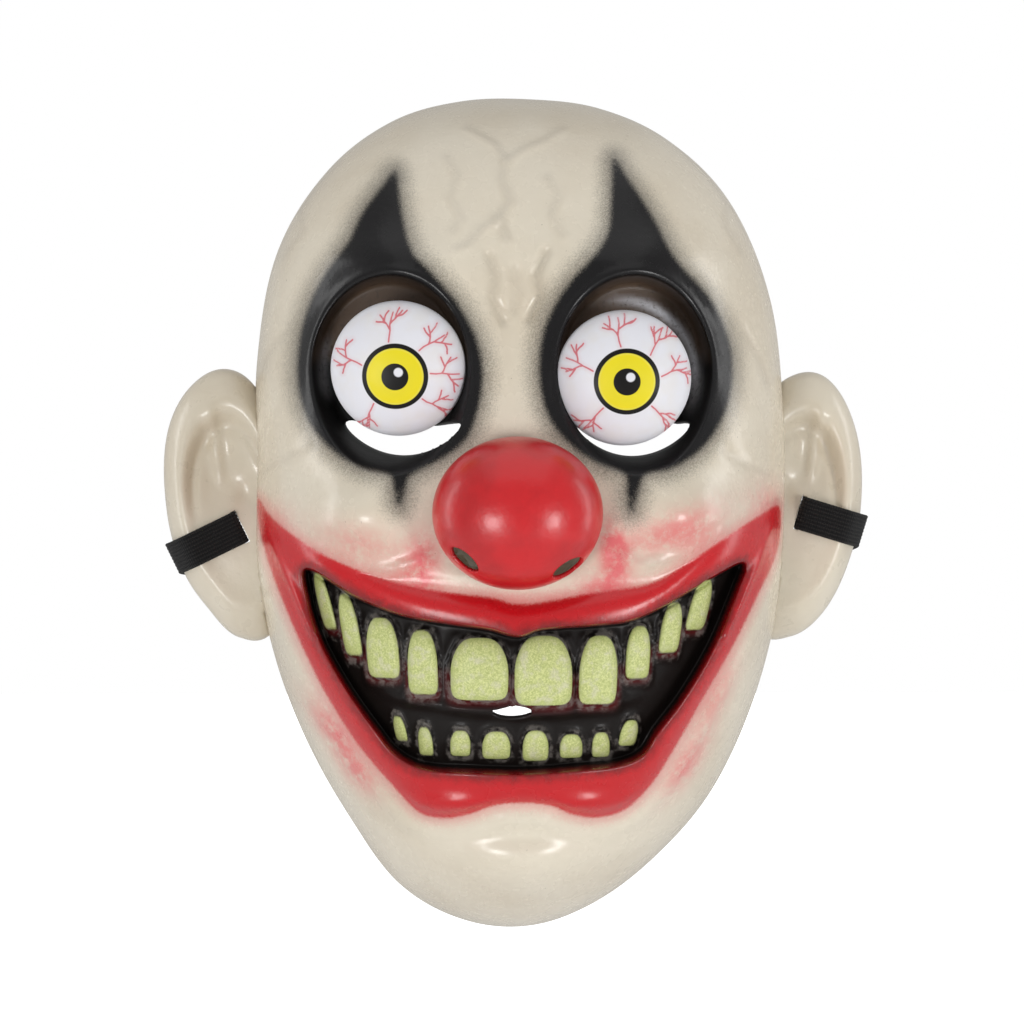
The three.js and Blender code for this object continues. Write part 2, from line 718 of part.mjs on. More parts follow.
// The strap's way over one ear, from its tab behind the ear's wall, out through the
// slot, taut over the ear's front and round its edge. Each station has a middle point
// and the direction of the strap's width.
function strapOverEar(place) {
  const ear = earForm(place);
  const [slotX, slotZ] = slotPlace(place);
  const fall = radians(place.strapFall);
  const outwards = new THREE.Vector3(place.side * Math.cos(fall), 0, -Math.sin(fall));
  const widthwise = new THREE.Vector3(place.side * Math.sin(fall), 0, Math.cos(fall));
  const edges = [-0.5, -0.25, 0, 0.25, 0.5].map((share) => share * STRAP_WIDTH);
  const standAt = (along) => edges.map((edge) => {
    const x = slotX + along * outwards.x + edge * widthwise.x;
    const z = slotZ + along * outwards.z + edge * widthwise.z;
    return ear.depth(x, z);
  });
  const step = 0.75;
  const start = SLOT_WIDTH / 2;
  const section = [];
  let along = start;
  let stand = Math.max(...standAt(along));
  while (stand > 0) {
    section.push([along, EAR_SETBACK + stand]);
    along += step;
    stand = Math.max(...standAt(along));
  }
  section.push([along, EAR_SETBACK]);

  const taut = [];
  section.forEach((point) => {
    while (taut.length > 1 && bendsUp(taut.at(-2), taut.at(-1), point)) taut.pop();
    taut.push(point);
  });
  const off = CLEARANCE + STRAP_THICKNESS / 2;
  const front = taut.map(([s, h], i) => {
    const [ps, ph] = taut[Math.max(0, i - 1)];
    const [ns, nh] = taut[Math.min(taut.length - 1, i + 1)];
    const length = Math.hypot(ns - ps, nh - ph);
    return [s + (off * (ph - nh)) / length, h + (off * (ns - ps)) / length];
  });

  const behind = [];
  for (let s = start; s <= STRAP_TAB + start; s += step) behind.push(...standAt(s));
  const tabHeight = EAR_SETBACK + Math.min(...behind) - 1.5 * WALL - off;
  const frontHeight = front[0][1];
  const bend = STRAP_THICKNESS;
  const turnBack = [
    [start + STRAP_TAB, tabHeight],
    [start + bend / 2, tabHeight],
    [bend / 2, tabHeight + 0.3 * bend],
    [0, tabHeight + bend],
    [0, frontHeight - bend],
    [bend / 2, frontHeight - 0.3 * bend],
  ];
  return [...turnBack, ...front].map(([s, height]) => ({
    point: new THREE.Vector3(slotX + s * outwards.x, -height, slotZ + s * outwards.z),
    width: widthwise,
  }));
}

function bendsUp([ax, ay], [bx, by], [cx, cy]) {
  return (bx - ax) * (cy - ay) - (by - ay) * (cx - ax) >= 0;
}

// The whole strap: over the left ear, round the back and over the right ear.
function strapStations() {
  const [left, right] = SIDES.map(strapOverEar);
  const from = left.at(-1);
  const to = right.at(-1);
  const steps = 56;
  const middle = (from.point.x + to.point.x) / 2;
  const reach = (to.point.x - from.point.x) / 2;
  const round = [];
  for (let i = 1; i < steps; i += 1) {
    const share = i / steps;
    const turn = share * Math.PI;
    const upright = new THREE.Vector3(0, 0, 1);
    const near = share < 0.5 ? from.width : to.width;
    const back = Math.sin(turn);
    round.push({
      point: new THREE.Vector3(
        middle - reach * Math.cos(turn),
        from.point.y + (STRAP_BACK - from.point.y) * back,
        from.point.z + (to.point.z - from.point.z) * share - STRAP_DROP * back,
      ),
      width: near.clone().lerp(upright, Math.min(1, 1.5 * back)).normalize(),
    });
  }
  return [...left, ...round, ...right.reverse()];
}

// A flat ribbon through the stations.
function elasticStrap() {
  const stations = strapStations();
  const positions = [];
  const index = [];
  stations.forEach(({ point, width }, i) => {
    const before = stations[Math.max(0, i - 1)].point;
    const after = stations[Math.min(stations.length - 1, i + 1)].point;
    const ahead = after.clone().sub(before).normalize();
    const thick = new THREE.Vector3().crossVectors(ahead, width).normalize();
    const wide = new THREE.Vector3().crossVectors(thick, ahead).normalize();
    [[-1, -1], [1, -1], [1, 1], [-1, 1]].forEach(([u, v]) => {
      const corner = point.clone()
        .addScaledVector(wide, (u * STRAP_WIDTH) / 2)
        .addScaledVector(thick, (v * STRAP_THICKNESS) / 2);
      positions.push(corner.x, corner.y, corner.z);
    });
    if (i === 0) return;
    for (let corner = 0; corner < 4; corner += 1) {
      const next = (corner + 1) % 4;
      const [a, b, c, d] = [4 * (i - 1) + corner, 4 * (i - 1) + next, 4 * i + next, 4 * i + corner];
      index.push(a, b, c, a, c, d);
    }
  });
  const last = 4 * (stations.length - 1);
  index.push(0, 2, 1, 0, 3, 2, last, last + 1, last + 2, last, last + 2, last + 3);
  const ribbon = new THREE.BufferGeometry();
  ribbon.setAttribute('position', new THREE.Float32BufferAttribute(positions, 3));
  ribbon.setIndex(index);
  return meshOf(solidOf(ribbon), 'elastic_strap', LOOKS.strap);
}

const clownMask = new THREE.Group();
clownMask.add(meshOf(maskShell(), 'mask_shell', LOOKS.shell));
EYES.forEach((eye) => {
  clownMask.add(eyeball(eye));
  clownMask.add(eyePost(eye));
});
clownMask.add(elasticStrap());

export default clownMask;
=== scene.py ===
"""Dresses the clown mask: a glossy moulded face with its nose and ears, two bulging
eyeballs on posts and a ribbed elastic strap. Millimetres inside, metres in the scene."""

import math

import bmesh
import bpy
import numpy as np
from mathutils import Matrix, Vector
from mathutils.geometry import delaunay_2d_cdt


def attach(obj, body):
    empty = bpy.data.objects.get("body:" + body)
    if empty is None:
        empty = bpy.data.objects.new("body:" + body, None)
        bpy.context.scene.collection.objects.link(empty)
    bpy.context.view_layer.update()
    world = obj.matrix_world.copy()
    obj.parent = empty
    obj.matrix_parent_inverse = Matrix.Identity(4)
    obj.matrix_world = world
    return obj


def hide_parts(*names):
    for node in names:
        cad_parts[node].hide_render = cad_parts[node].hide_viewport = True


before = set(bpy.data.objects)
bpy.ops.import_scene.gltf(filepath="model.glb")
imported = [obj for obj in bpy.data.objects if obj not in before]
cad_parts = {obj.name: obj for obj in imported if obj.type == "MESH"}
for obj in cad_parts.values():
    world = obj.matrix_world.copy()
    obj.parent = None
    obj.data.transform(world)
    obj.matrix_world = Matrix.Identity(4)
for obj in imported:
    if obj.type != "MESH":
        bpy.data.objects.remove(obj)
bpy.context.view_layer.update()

bl_info = {
    "name": "Clown mask",
    "version": (1, 0, 0),
    "blender": (4, 5, 0),
    "location": "3D View > Sidebar > Clown mask",
    "description": "Builds the finished clown mask round its packed solids",
    "category": "Object",
}

MM = 0.001

# The shell's rear edge: reach at each 15 degrees from the crown to the chin, as
# (right, left) shares of half the face's width and height.
RIM = (
    (1.016, 1.016), (1.043, 1.027), (1.083, 1.06), (1.114, 1.087), (1.098, 1.087),
    (1.045, 1.027), (1.018, 0.967), (1.017, 0.967), (1.012, 0.958), (1.01, 0.953),
    (1.0, 0.965), (1.006, 1.006), (1.0175, 1.0175),
)
# An ear's edge each 30 degrees, from the way out of the head round over the top.
EAR_RIM_RIGHT = (1.0, 1.08, 1.07, 0.95, 0.84, 0.75, 0.6, 0.75, 1.03, 0.955, 0.905, 0.915)
EAR_RIM_LEFT = (1.03, 1.148, 1.085, 0.98, 0.84, 0.75, 0.6, 0.75, 1.03, 0.955, 0.862, 0.92)

# Bulges and hollows: across, up, wide, tall, push as shares; the last one mirrors it.
RELIEF = (
    (0.45, 0.607, 0.25, 0.074, 0.062, True),
    (0.0, 0.426, 0.088, 0.164, -0.05, False),
    (0.6, 0.016, 0.25, 0.107, 0.112, True),
    (0.0, -0.41, 0.69, 0.279, 0.1, False),
    (0.037, -0.844, 0.3, 0.107, 0.15, False),
    (0.0, -0.746, 0.325, 0.033, -0.037, False),
    (0.9, 0.451, 0.125, 0.197, -0.062, True),
    (0.725, -0.508, 0.175, 0.148, -0.037, True),
)

# Outlines of the mouth as shares of half its width and of its height.
LIP_OUTLINE = (
    (-0.99, 0.056), (-0.94, 0.006), (-0.845, -0.054), (-0.71, -0.119), (-0.507, -0.186),
    (-0.32, -0.221), (-0.11, -0.244), (0.024, -0.266), (0.288, -0.229), (0.49, -0.203),
    (0.625, -0.143), (0.765, -0.067), (0.915, 0.002), (1.02, 0.028), (1.015, -0.106),
    (0.92, -0.26), (0.817, -0.424), (0.705, -0.586), (0.597, -0.749), (0.505, -0.875),
    (0.41, -0.953), (0.3, -0.976), (0.203, -0.959), (0.12, -0.927), (0.024, -0.918),
    (-0.08, -0.925), (-0.184, -0.959), (-0.278, -0.976), (-0.373, -0.957),
    (-0.467, -0.873), (-0.592, -0.749), (-0.698, -0.61), (-0.782, -0.474),
    (-0.863, -0.322), (-0.935, -0.169), (-0.984, -0.032),
)
GAP_OUTLINE = (
    (-0.79, -0.161), (-0.6, -0.248), (-0.43, -0.302), (-0.243, -0.328), (-0.11, -0.343),
    (-0.003, -0.366), (0.09, -0.343), (0.288, -0.332), (0.424, -0.318), (0.56, -0.269),
    (0.697, -0.204), (0.839, -0.146), (0.868, -0.165), (0.842, -0.221), (0.744, -0.414),
    (0.631, -0.576), (0.53, -0.689), (0.473, -0.765), (0.378, -0.799), (0.225, -0.81),
    (0.026, -0.819), (-0.175, -0.816), (-0.346, -0.809), (-0.455, -0.766),
    (-0.535, -0.684), (-0.643, -0.553), (-0.739, -0.404), (-0.79, -0.264),
)
# Teeth: across, up, wide, tall as shares and the lean of their tops in degrees.
UPPER_TEETH = (
    (-0.727, -0.269, 0.054, 0.185, 14), (-0.631, -0.344, 0.07, 0.2, 10),
    (-0.506, -0.416, 0.124, 0.195, 4), (-0.356, -0.459, 0.115, 0.207, 2),
    (-0.144, -0.478, 0.22, 0.2, 0), (0.094, -0.483, 0.221, 0.223, 0),
    (0.301, -0.483, 0.148, 0.22, -2), (0.452, -0.429, 0.095, 0.17, -3),
    (0.579, -0.352, 0.082, 0.162, -8), (0.692, -0.279, 0.08, 0.166, -14),
)
LOWER_TEETH = (
    (-0.441, -0.683, 0.046, 0.083, 12), (-0.345, -0.722, 0.056, 0.095, 6),
    (-0.214, -0.725, 0.078, 0.086, 0), (-0.08, -0.73, 0.108, 0.092, 0),
    (0.067, -0.732, 0.1, 0.102, 0), (0.201, -0.735, 0.088, 0.08, 0),
    (0.314, -0.733, 0.07, 0.084, 0), (0.421, -0.697, 0.07, 0.086, -10),
)

# Eyes: side, socket across and up, ball across and up, look out and down, slit across
# and up, and the printed ring's offset on the ball in mm.
EYES = (
    ("left", -1, -0.457, 0.342, -0.424, 0.359, 4, 8, -0.411, 0.185, (-0.2, -0.8)),
    ("right", 1, 0.42, 0.342, 0.376, 0.336, 2, 5, 0.416, 0.183, (0.1, -0.1)),
)
# Ears and the strap's way over them: side, ear across and up, strap up and its fall.
SIDES = (
    ("left", -1, -1.025, 0.016, -0.03, 26, EAR_RIM_LEFT),
    ("right", 1, 1.044, 0.016, 0.003, 17, EAR_RIM_RIGHT),
)
NOSTRILS = ((-0.63, -0.59, -42), (0.58, -0.7, 32))
NOSE_UP = 0.0215
NOSE_ACROSS = -0.004
BREATH_SLIT = (-0.022, -0.62, 11.6, 3.9)
# In mm: half the length of the slit under each eyeball, the rise of its ends and half
# its height; how far the nose ball's middle stands off the face; how far the strap's
# slot lies outside the cheek; how far the strap reaches back and sags there.
SLIT_SHAPE = (16.5, 5, 4)
NOSE_OUT = 4
SLOT_OUT = 4
STRAP_BACK = 112
STRAP_SAG = 10

# The black make-up round each eye in mm: a tall diamond above, a band round the
# socket and a short spike below.
BLACK_LEFT = (
    (-35.0, 100.4), (-38.8, 95.7), (-42.8, 90.4), (-45.4, 86.0), (-48.0, 80.2),
    (-51.4, 75.6), (-55.2, 70.4), (-59.0, 63.2), (-61.9, 54.5), (-63.1, 44.4),
    (-62.4, 35.8), (-59.2, 27.5), (-53.4, 20.7), (-45.3, 15.7), (-36.7, 13.6),
    (-35.0, 9.1), (-33.9, 4.6), (-32.5, 9.1), (-30.6, 13.4), (-22.5, 17.8),
    (-15.4, 23.2), (-11.7, 31.7), (-10.3, 42.0), (-12.0, 51.6), (-16.8, 61.0),
    (-21.3, 66.7), (-26.2, 72.1), (-29.6, 75.6), (-31.8, 80.8), (-33.3, 88.5),
    (-34.1, 94.4),
)
BLACK_RIGHT = (
    (28.5, 104.2), (27.9, 97.2), (27.4, 90.5), (26.6, 83.4), (24.1, 78.2),
    (20.3, 73.6), (15.7, 68.7), (11.2, 62.2), (7.7, 54.5), (6.3, 45.9), (6.8, 36.8),
    (9.3, 28.9), (15.0, 22.1), (22.4, 17.0), (30.3, 13.7), (31.1, 8.2), (31.9, 2.2),
    (33.7, 8.2), (36.1, 13.5), (43.6, 15.2), (52.0, 20.1), (58.1, 27.5), (61.6, 36.7),
    (62.1, 47.3), (59.7, 56.0), (56.1, 62.9), (52.2, 67.5), (47.7, 72.0),
    (43.6, 77.5), (40.1, 85.0), (36.0, 92.3), (31.8, 98.8),
)
# Red and pink haze on the skin: across, up, wide, tall in mm, strength and slant.
BLUSH = (
    (-27, -11, 5, 8, 0.55, 0), (27, -8, 3.5, 8, 0.8, 10), (-45, -7, 14, 6, 0.3, -12),
    (42, -3, 16, 5, 0.42, 22), (52, -6, 9, 6, 0.3, 20), (-30, -19, 8, 5, 0.4, -20),
    (24, -19, 8, 5, 0.5, 15), (-53, -62, 4, 11, 0.5, 38), (-46, -74, 4, 8, 0.4, 38),
    (49, -72, 4, 10, 0.45, -35), (58, -52, 4, 12, 0.35, -25), (0, -22, 20, 3, 0.25, 0),
    (-70, 0, 6, 5, 0.2, 0), (74, 4, 7, 6, 0.3, 0),
)
# Raised veins and sunk creases: how far each stands up and its line of points, in mm.
CREASES = (
    (1.8, ((-14, 113), (-6, 108), (-3, 103), (-4, 97), (-2, 91), (-5, 86), (-3, 80))),
    (1.44, ((-3, 103), (3, 107), (8, 109), (14, 113))),
    (1.26, ((-5, 86), (-10, 83), (-13, 79), (-17, 77))),
    (1.26, ((-20, 104), (-17, 98), (-19, 92), (-16, 86), (-18, 82))),
    (1.26, ((9, 98), (12, 92), (10, 87), (13, 81))),
    (-1.98, ((-8, 76), (-6, 70), (-7, 64), (-4, 57))),
    (-1.98, ((8, 77), (5, 70), (6, 64), (3, 57))),
    (-1.26, ((-1, 72), (0, 66), (-1, 60))),
    (1.44, ((50, 108), (58, 100), (63, 92), (61, 85), (66, 77))),
    (1.26, ((63, 92), (70, 88), (73, 81))),
    (1.44, ((-52, 104), (-59, 97), (-63, 90), (-62, 83), (-68, 76))),
    (-1.62, ((-66, 55), (-72, 48), (-75, 40))),
    (-1.62, ((66, 55), (71, 47), (74, 39))),
    (2.52, ((-73, -4), (-69, -12), (-64, -22), (-59, -33))),
    (2.52, ((75, -3), (71, -12), (66, -22), (60, -34))),
    (1.8, ((-26, -10), (-36, -14), (-46, -13), (-57, -8))),
    (1.8, ((27, -9), (37, -12), (48, -10), (60, -3))),
    (-1.44, ((-60, 22), (-68, 17), (-74, 13))),
    (-1.44, ((60, 20), (68, 15), (75, 12))),
)
# The cheeks' apples and the lobes of the lower lip: across, up, wide, tall, rise in mm.
APPLES = ((-52, 2, 13, 8, 2.2), (54, 2, 13, 8, 2.2))
LOBES = ((-19, -81.5, 14, 3.2, 2.6), (20, -81.5, 14, 3.2, 2.6))


def length(name, description, mm):
    """A length property with its first value in mm."""
    return bpy.props.FloatProperty(
        name=name, description=description, default=mm * MM, unit="LENGTH")


class MaskSizes(bpy.types.PropertyGroup):
    """Lengths of the mask that a user may change."""

    wall: length("Wall", "Thickness of the moulded sheet", 1.2)
    face_width: length("Face width", "Width that the rear edge's shares refer to", 160)
    face_height: length("Face height", "Height that the rear edge's shares refer to", 244)
    face_depth: length("Face depth", "How far the face stands off its rear edge", 80)
    mouth_width: length("Mouth width", "Width of the painted lips", 153)
    mouth_height: length("Mouth height", "From the corners to the lowest lip edge", 88)
    mouth_depth: length("Mouth depth", "How far the gums lie behind the lips", 9)
    lip_rise: length("Lip rise", "How far the lips stand off the face", 2.5)
    eye_diameter: length("Eyeball diameter", "Width of each eyeball", 38.6)
    socket_depth: length("Socket depth", "Depth of each eye socket", 18)
    nose_width: length("Nose width", "Width of the nose ball", 48.4)
    nose_height: length("Nose height", "Height of the nose ball", 43.5)
    nose_length: length("Nose length", "Length of the nose ball, front to back", 42)
    ear_thickness: length("Ear thickness", "How far an ear stands off its own edge", 14)
    strap_width: length("Strap width", "Width of the elastic", 10)
    strap_thickness: length("Strap thickness", "Thickness of the elastic", 1.2)


def colour(name, description, red, green, blue):
    """A colour property from the usual 0 to 255 values."""
    linear = [
        ((c / 255 + 0.055) / 1.055) ** 2.4 if c > 10 else c / 3294 for c in (red, green, blue)]
    return bpy.props.FloatVectorProperty(
        name=name, description=description, subtype="COLOR", size=4, min=0, max=1,
        default=(*linear, 1))


class MaskColours(bpy.types.PropertyGroup):
    """Colours of the plastic, the paint and the elastic."""

    skin: colour("Skin", "Cream plastic of the face", 217, 208, 190)
    # Warm tone: varies the cream at random, and darkens the ears' hollows as painted shade.
    warm_tone_and_painted_shade: colour("Skin shade", "Warmer cream in the hollows", 208, 197, 177)
    blush: colour("Blush", "Pink haze on the skin", 214, 96, 100)
    black: colour("Black", "Make-up round the eyes", 20, 19, 20)
    # Brown: dirt specks on the skin, painted shade along the creases and veins, and a painted
    # reflection on the upper wall of each socket under the brow.
    brown: colour("Brown", "Worn band under the brow in each socket", 92, 74, 60)
    lip: colour("Lip red", "Airbrushed lips", 190, 14, 24)
    lip_dark: colour("Lip dark", "Lips near the gums", 118, 6, 10)
    lip_light: colour("Lip light", "Lips at their worn corners", 224, 112, 112)
    gum: colour("Gum", "Glossy dark gums", 18, 13, 11)
    maroon: colour("Maroon", "Line under the upper teeth", 84, 18, 20)
    sheen: colour("Gum sheen", "Grey haze round the teeth", 130, 124, 118)
    tooth: colour("Tooth", "Pale yellow green teeth", 208, 212, 146)
    # Tooth dark is also painted shade toward the teeth's edges.
    tooth_dark: colour("Tooth dark", "Speckle on the teeth", 166, 176, 104)
    nose: colour("Nose red", "Nose ball", 196, 18, 26)
    eye: colour("Eye white", "Printed white of the eyeballs", 220, 220, 226)
    iris: colour("Iris", "Yellow ring", 226, 210, 36)
    pupil: colour("Pupil", "Pupil and its outer ring", 18, 16, 16)
    vein: colour("Vein", "Printed veins", 200, 78, 88)
    post: colour("Post", "Plain plastic posts", 200, 192, 176)
    lining: colour("Lining", "Unpainted inner side", 205, 198, 184)
    strap: colour("Strap", "Black elastic", 14, 14, 15)


def smooth(knots, t):
    """A place on the smooth curve through four knots, between the middle two."""
    a, b, c, d = knots
    cubic = (-a + 3 * b - 3 * c + d) * t**3
    return 0.5 * (2 * b + (c - a) * t + (2 * a - 5 * b + 4 * c - d) * t**2 + cubic)


def curve_ring(values):
    """A smooth closed curve of reach over turn, through evenly spaced values."""
    values = np.asarray(values, float)
    count = len(values)

    def reach(turn):
        place = (np.asarray(turn) / (2 * np.pi)) % 1 * count
        at = np.floor(place).astype(int)
        return smooth([values[(at + step) % count] for step in (-1, 0, 1, 2)], place - at)

    return reach


def run_along(points):
    """How far along a line of points each of them lies."""
    return np.concatenate(([0], np.cumsum(np.linalg.norm(np.diff(points, axis=0), axis=1))))


def closed_curve(rows, spacing):
    """Points a given distance apart on a smooth closed curve through the rows."""
    knots = np.asarray(rows, float)
    count = len(knots)
    steps = np.linspace(0, 1, 12, endpoint=False)[:, None]
    fine = np.vstack([
        smooth([knots[(i + step) % count] for step in (-1, 0, 1, 2)], steps) for i in range(count)])
    closed = np.vstack((fine, fine[:1]))
    run = run_along(closed)
    at = np.linspace(0, run[-1], max(8, int(round(run[-1] / spacing))), endpoint=False)
    return np.column_stack((np.interp(at, run, closed[:, 0]), np.interp(at, run, closed[:, 1])))


def outward(outline):
    """Unit normals that point out of a closed outline."""
    ahead = np.roll(outline, -1, 0) - np.roll(outline, 1, 0)
    normal = np.column_stack((ahead[:, 1], -ahead[:, 0]))
    normal /= np.linalg.norm(normal, axis=1)[:, None]
    x, z = outline.T
    area = np.sum(x * np.roll(z, -1) - np.roll(x, -1) * z)
    return normal if area > 0 else -normal


def line_distance(points, x, z, closed=False):
    """Distance of each place from a line of points."""
    starts = np.asarray(points, float)
    ends = np.roll(starts, -1, 0)
    if not closed:
        starts, ends = starts[:-1], ends[:-1]
    nearest = np.full(len(x), np.inf)
    for (ax, az), (bx, bz) in zip(starts, ends):
        dx, dz = bx - ax, bz - az
        t = np.clip(((x - ax) * dx + (z - az) * dz) / max(dx * dx + dz * dz, 1e-12), 0, 1)
        nearest = np.minimum(nearest, np.hypot(x - ax - t * dx, z - az - t * dz))
    return nearest


def inside_distance(outline, x, z):
    """Distance from a closed outline, positive inside it."""
    inside = np.zeros(len(x), bool)
    for (ax, az), (bx, bz) in zip(outline, np.roll(outline, -1, 0)):
        if az == bz:
            continue
        crosses = (az > z) != (bz > z)
        inside ^= crosses & (x < ax + (z - az) / (bz - az) * (bx - ax))
    return np.where(inside, 1, -1) * line_distance(outline, x, z, closed=True)


def ramp(low, high, value):
    """0 below low, 1 above high and smooth between."""
    t = np.clip((value - low) / (high - low), 0, 1)
    return t * t * (3 - 2 * t)


def bell(value, wide):
    """1 at nought, falling away to nothing past about twice the width."""
    return np.exp(-((value / wide) ** 2))


def mounds(rows, x, z):
    """Soft bulges, each a row of across, up, wide, tall and rise."""
    return sum(rise * bell(x - at, wide) * bell(z - up, tall) for at, up, wide, tall, rise in rows)


def crown(share):
    """How full a tooth is at a share of the way from its middle to its edge."""
    return np.clip(1 - np.clip(share, 0, 1.12) ** 5 / 1.76, 0, 1) ** 0.5


class FaceForm:
    """The outer form of the face in mm: how far it stands in front of its rear edge."""

    SOCKET_MARGIN = 5.2
    SOCKET_TALLER = 8.4
    SOCKET_TURN = math.radians(20)
    UPPER_RISE = 3.5
    LOWER_RISE = 2.5
    TOOTH_WIDTH = 0.96
    TOOTH_TAPER = 0.16
    TOP_POWER = 3.0
    FOOT_POWER = 6.0
    LIP_ROLL = 0.75 * math.pi
    CREASE_WIDTH = 1.2
    PALE_ARC_OFF = 2.8

    def __init__(self, sizes):
        self.half_width = sizes.face_width / MM / 2
        self.half_height = sizes.face_height / MM / 2
        self.depth = sizes.face_depth / MM
        self.mouth_depth = sizes.mouth_depth / MM
        self.lip_rise = sizes.lip_rise / MM
        self.eye_radius = sizes.eye_diameter / MM / 2
        self.socket_depth = sizes.socket_depth / MM
        self.mouth_scale = np.array((sizes.mouth_width / MM / 2, sizes.mouth_height / MM))
        right = [row[0] for row in RIM]
        left = [row[1] for row in RIM]
        values = right[6::-1] + left[1:] + right[:6:-1]
        self.reach = curve_ring(values)
        self.lips = closed_curve(np.array(LIP_OUTLINE) * self.mouth_scale, 1.4)
        self.gap = closed_curve(np.array(GAP_OUTLINE) * self.mouth_scale, 0.8)

    def share(self, x, z):
        across, up = x / self.half_width, z / self.half_height
        return np.hypot(across, up) / self.reach(np.arctan2(up, across))

    def flatten(self, x, z):
        """The surface spread flat, so that even steps there are even on the mask."""
        turn = np.arctan2(z / self.half_height, x / self.half_width)
        t = np.arcsin(np.clip(self.share(x, z), 0, 1))
        return t * np.cos(turn) * self.half_width, t * np.sin(turn) * self.half_height

    def unflatten(self, u, v):
        a, b = u / self.half_width, v / self.half_height
        turn = np.arctan2(b, a)
        share = np.sin(np.clip(np.hypot(a, b), 0, np.pi / 2)) * self.reach(turn)
        return share * np.cos(turn) * self.half_width, share * np.sin(turn) * self.half_height

    def bare(self, x, z):
        """The face without lips, mouth, sockets or creases."""
        share = np.clip(self.share(x, z), 0, 1)
        across, up = x / self.half_width, z / self.half_height
        relief = np.zeros(len(x))
        for at, high, wide, tall, push, pair in RELIEF:
            bulge = bell(across - at, wide) * bell(up - high, tall)
            if pair:
                bulge += bell(across + at, wide) * bell(up - high, tall)
            relief += push * self.depth * bulge
        dome = self.depth * (1 - share**2.5) ** 0.4
        return dome + relief * (1 - share**6), 1 - share**6

    def tooth_size(self, row):
        """A tooth's middle, half width and half height in mm, and the slope of its lean."""
        at, high, wide, tall, lean = row
        cx, cz = np.array((at, high)) * self.mouth_scale
        half_wide = self.TOOTH_WIDTH * wide * self.mouth_scale[0] / 2
        return cx, cz, half_wide, tall * self.mouth_scale[1] / 2, math.tan(math.radians(lean))

    def taper(self, part):
        """How much narrower a tooth is at a share of the way up to its top."""
        return 1 - self.TOOTH_TAPER * ramp(-0.1, 1.0, part)

    def tooth_field(self, rows, x, z):
        """Share of the way from a tooth's middle to its edge, and its half width."""
        nearest = np.full(len(x), 9.0)
        half = np.full(len(x), 3.0)
        for row in rows:
            cx, cz, hw, ht, lean = self.tooth_size(row)
            up = z - cz
            across = (x - cx + up * lean) / self.taper(up / ht)
            power = np.where(up > 0, self.TOP_POWER, self.FOOT_POWER)
            share = ((np.abs(across) / hw) ** power + (np.abs(up) / ht) ** power) ** (1 / power)
            closer = share < nearest
            nearest[closer] = share[closer]
            half[closer] = min(hw, ht)
        return nearest, half

    def tooth_row(self, row, share, spacing):
        """A line of places round a tooth, at a share of the way to its edge."""
        cx, cz, hw, ht, lean = self.tooth_size(row)
        turn = np.linspace(0, 2 * np.pi, 80, endpoint=False)
        c, s = np.cos(turn), np.sin(turn)
        power = 2 / np.where(s > 0, self.TOP_POWER, self.FOOT_POWER)
        up = share * ht * np.sign(s) * np.abs(s) ** power
        across = share * hw * np.sign(c) * np.abs(c) ** power * self.taper(up / ht)
        return closed_curve(np.column_stack((cx + across - up * lean, cz + up)), spacing)

    def socket_size(self):
        """Half the width and half the height of an eye socket in mm."""
        wide = (self.eye_radius + self.SOCKET_MARGIN) * math.cos(self.SOCKET_TURN)
        return wide, self.eye_radius + self.SOCKET_TALLER / 2 + self.SOCKET_MARGIN

    def socket(self, eye, x, z):
        """Share of the way to the socket's edge, and where the socket's floor lies."""
        _, side, across, up, *_ = eye
        cx, cz = across * self.half_width, up * self.half_height
        wide, tall = self.socket_size()
        share = np.hypot((x - cx) / wide, (z - cz) / tall)
        front, _ = self.bare(np.array([cx]), np.array([cz]))
        run = self.socket_depth * math.sin(self.SOCKET_TURN)
        level = front[0] - self.socket_depth * math.cos(self.SOCKET_TURN)
        floor = level - side * (x - cx + side * run) * math.tan(self.SOCKET_TURN)
        return share, floor, (z - cz) / tall

    def roll(self, to_lip, to_gap):
        """Share of the lips' rise: up from their outer edge, over and down to the gums."""
        on_lip = (to_lip > 0) & (to_gap < 0)
        portion = np.where(on_lip, to_lip / np.maximum(to_lip - to_gap, 1e-6), 0)
        roll = np.where(on_lip, np.sin(self.LIP_ROLL * portion**0.8), 0)
        return np.where(to_gap >= 0, math.sin(self.LIP_ROLL) * ramp(1.2, 0, to_gap), roll)

    def mouth(self, x, z, to_gap):
        """The sunk gums with their ledge, collars and teeth, and the teeth's marks."""
        upper, upper_half = self.tooth_field(UPPER_TEETH, x, z)
        lower, lower_half = self.tooth_field(LOWER_TEETH, x, z)
        teeth = np.maximum(self.UPPER_RISE * crown(upper), self.LOWER_RISE * crown(lower))
        ledge = 1.6 * bell(z + 55 - 0.0035 * x**2, 1.9) * ramp(40, 30, np.abs(x + 2))
        collars = 0.8 * bell(upper - 1.28, 0.16) + 0.5 * bell(lower - 1.35, 0.2)
        rise = ramp(0.6, 2.2, to_gap) * teeth + ramp(1.5, 4, to_gap) * (ledge + collars)
        marks = {
            "teeth": np.maximum(
                np.where(upper < 1.5, (1.02 - upper) * upper_half, -3),
                np.where(lower < 1.6, (1.02 - lower) * lower_half, -3)),
            "under_teeth": bell(upper - 1.1, 0.14) * ramp(0.0, -3.0, self.tooth_middle(x, z)),
        }
        return rise - self.mouth_depth * ramp(-0.5, 1.5, to_gap), marks

    def scuff(self, eye, x, z):
        """A pale arc on the socket's floor beside an eyeball."""
        off_x, off_z = x - eye[4] * self.half_width, z - eye[5] * self.half_height
        turn = np.degrees(np.arctan2(off_z, off_x))
        ring = bell(np.hypot(off_x, off_z) - self.eye_radius - self.PALE_ARC_OFF, 1.2)
        if eye[1] > 0:
            return ring * ramp(-35, 5, turn) * ramp(110, 60, turn)
        return 0.35 * ring * ramp(150, 170, np.abs(turn))

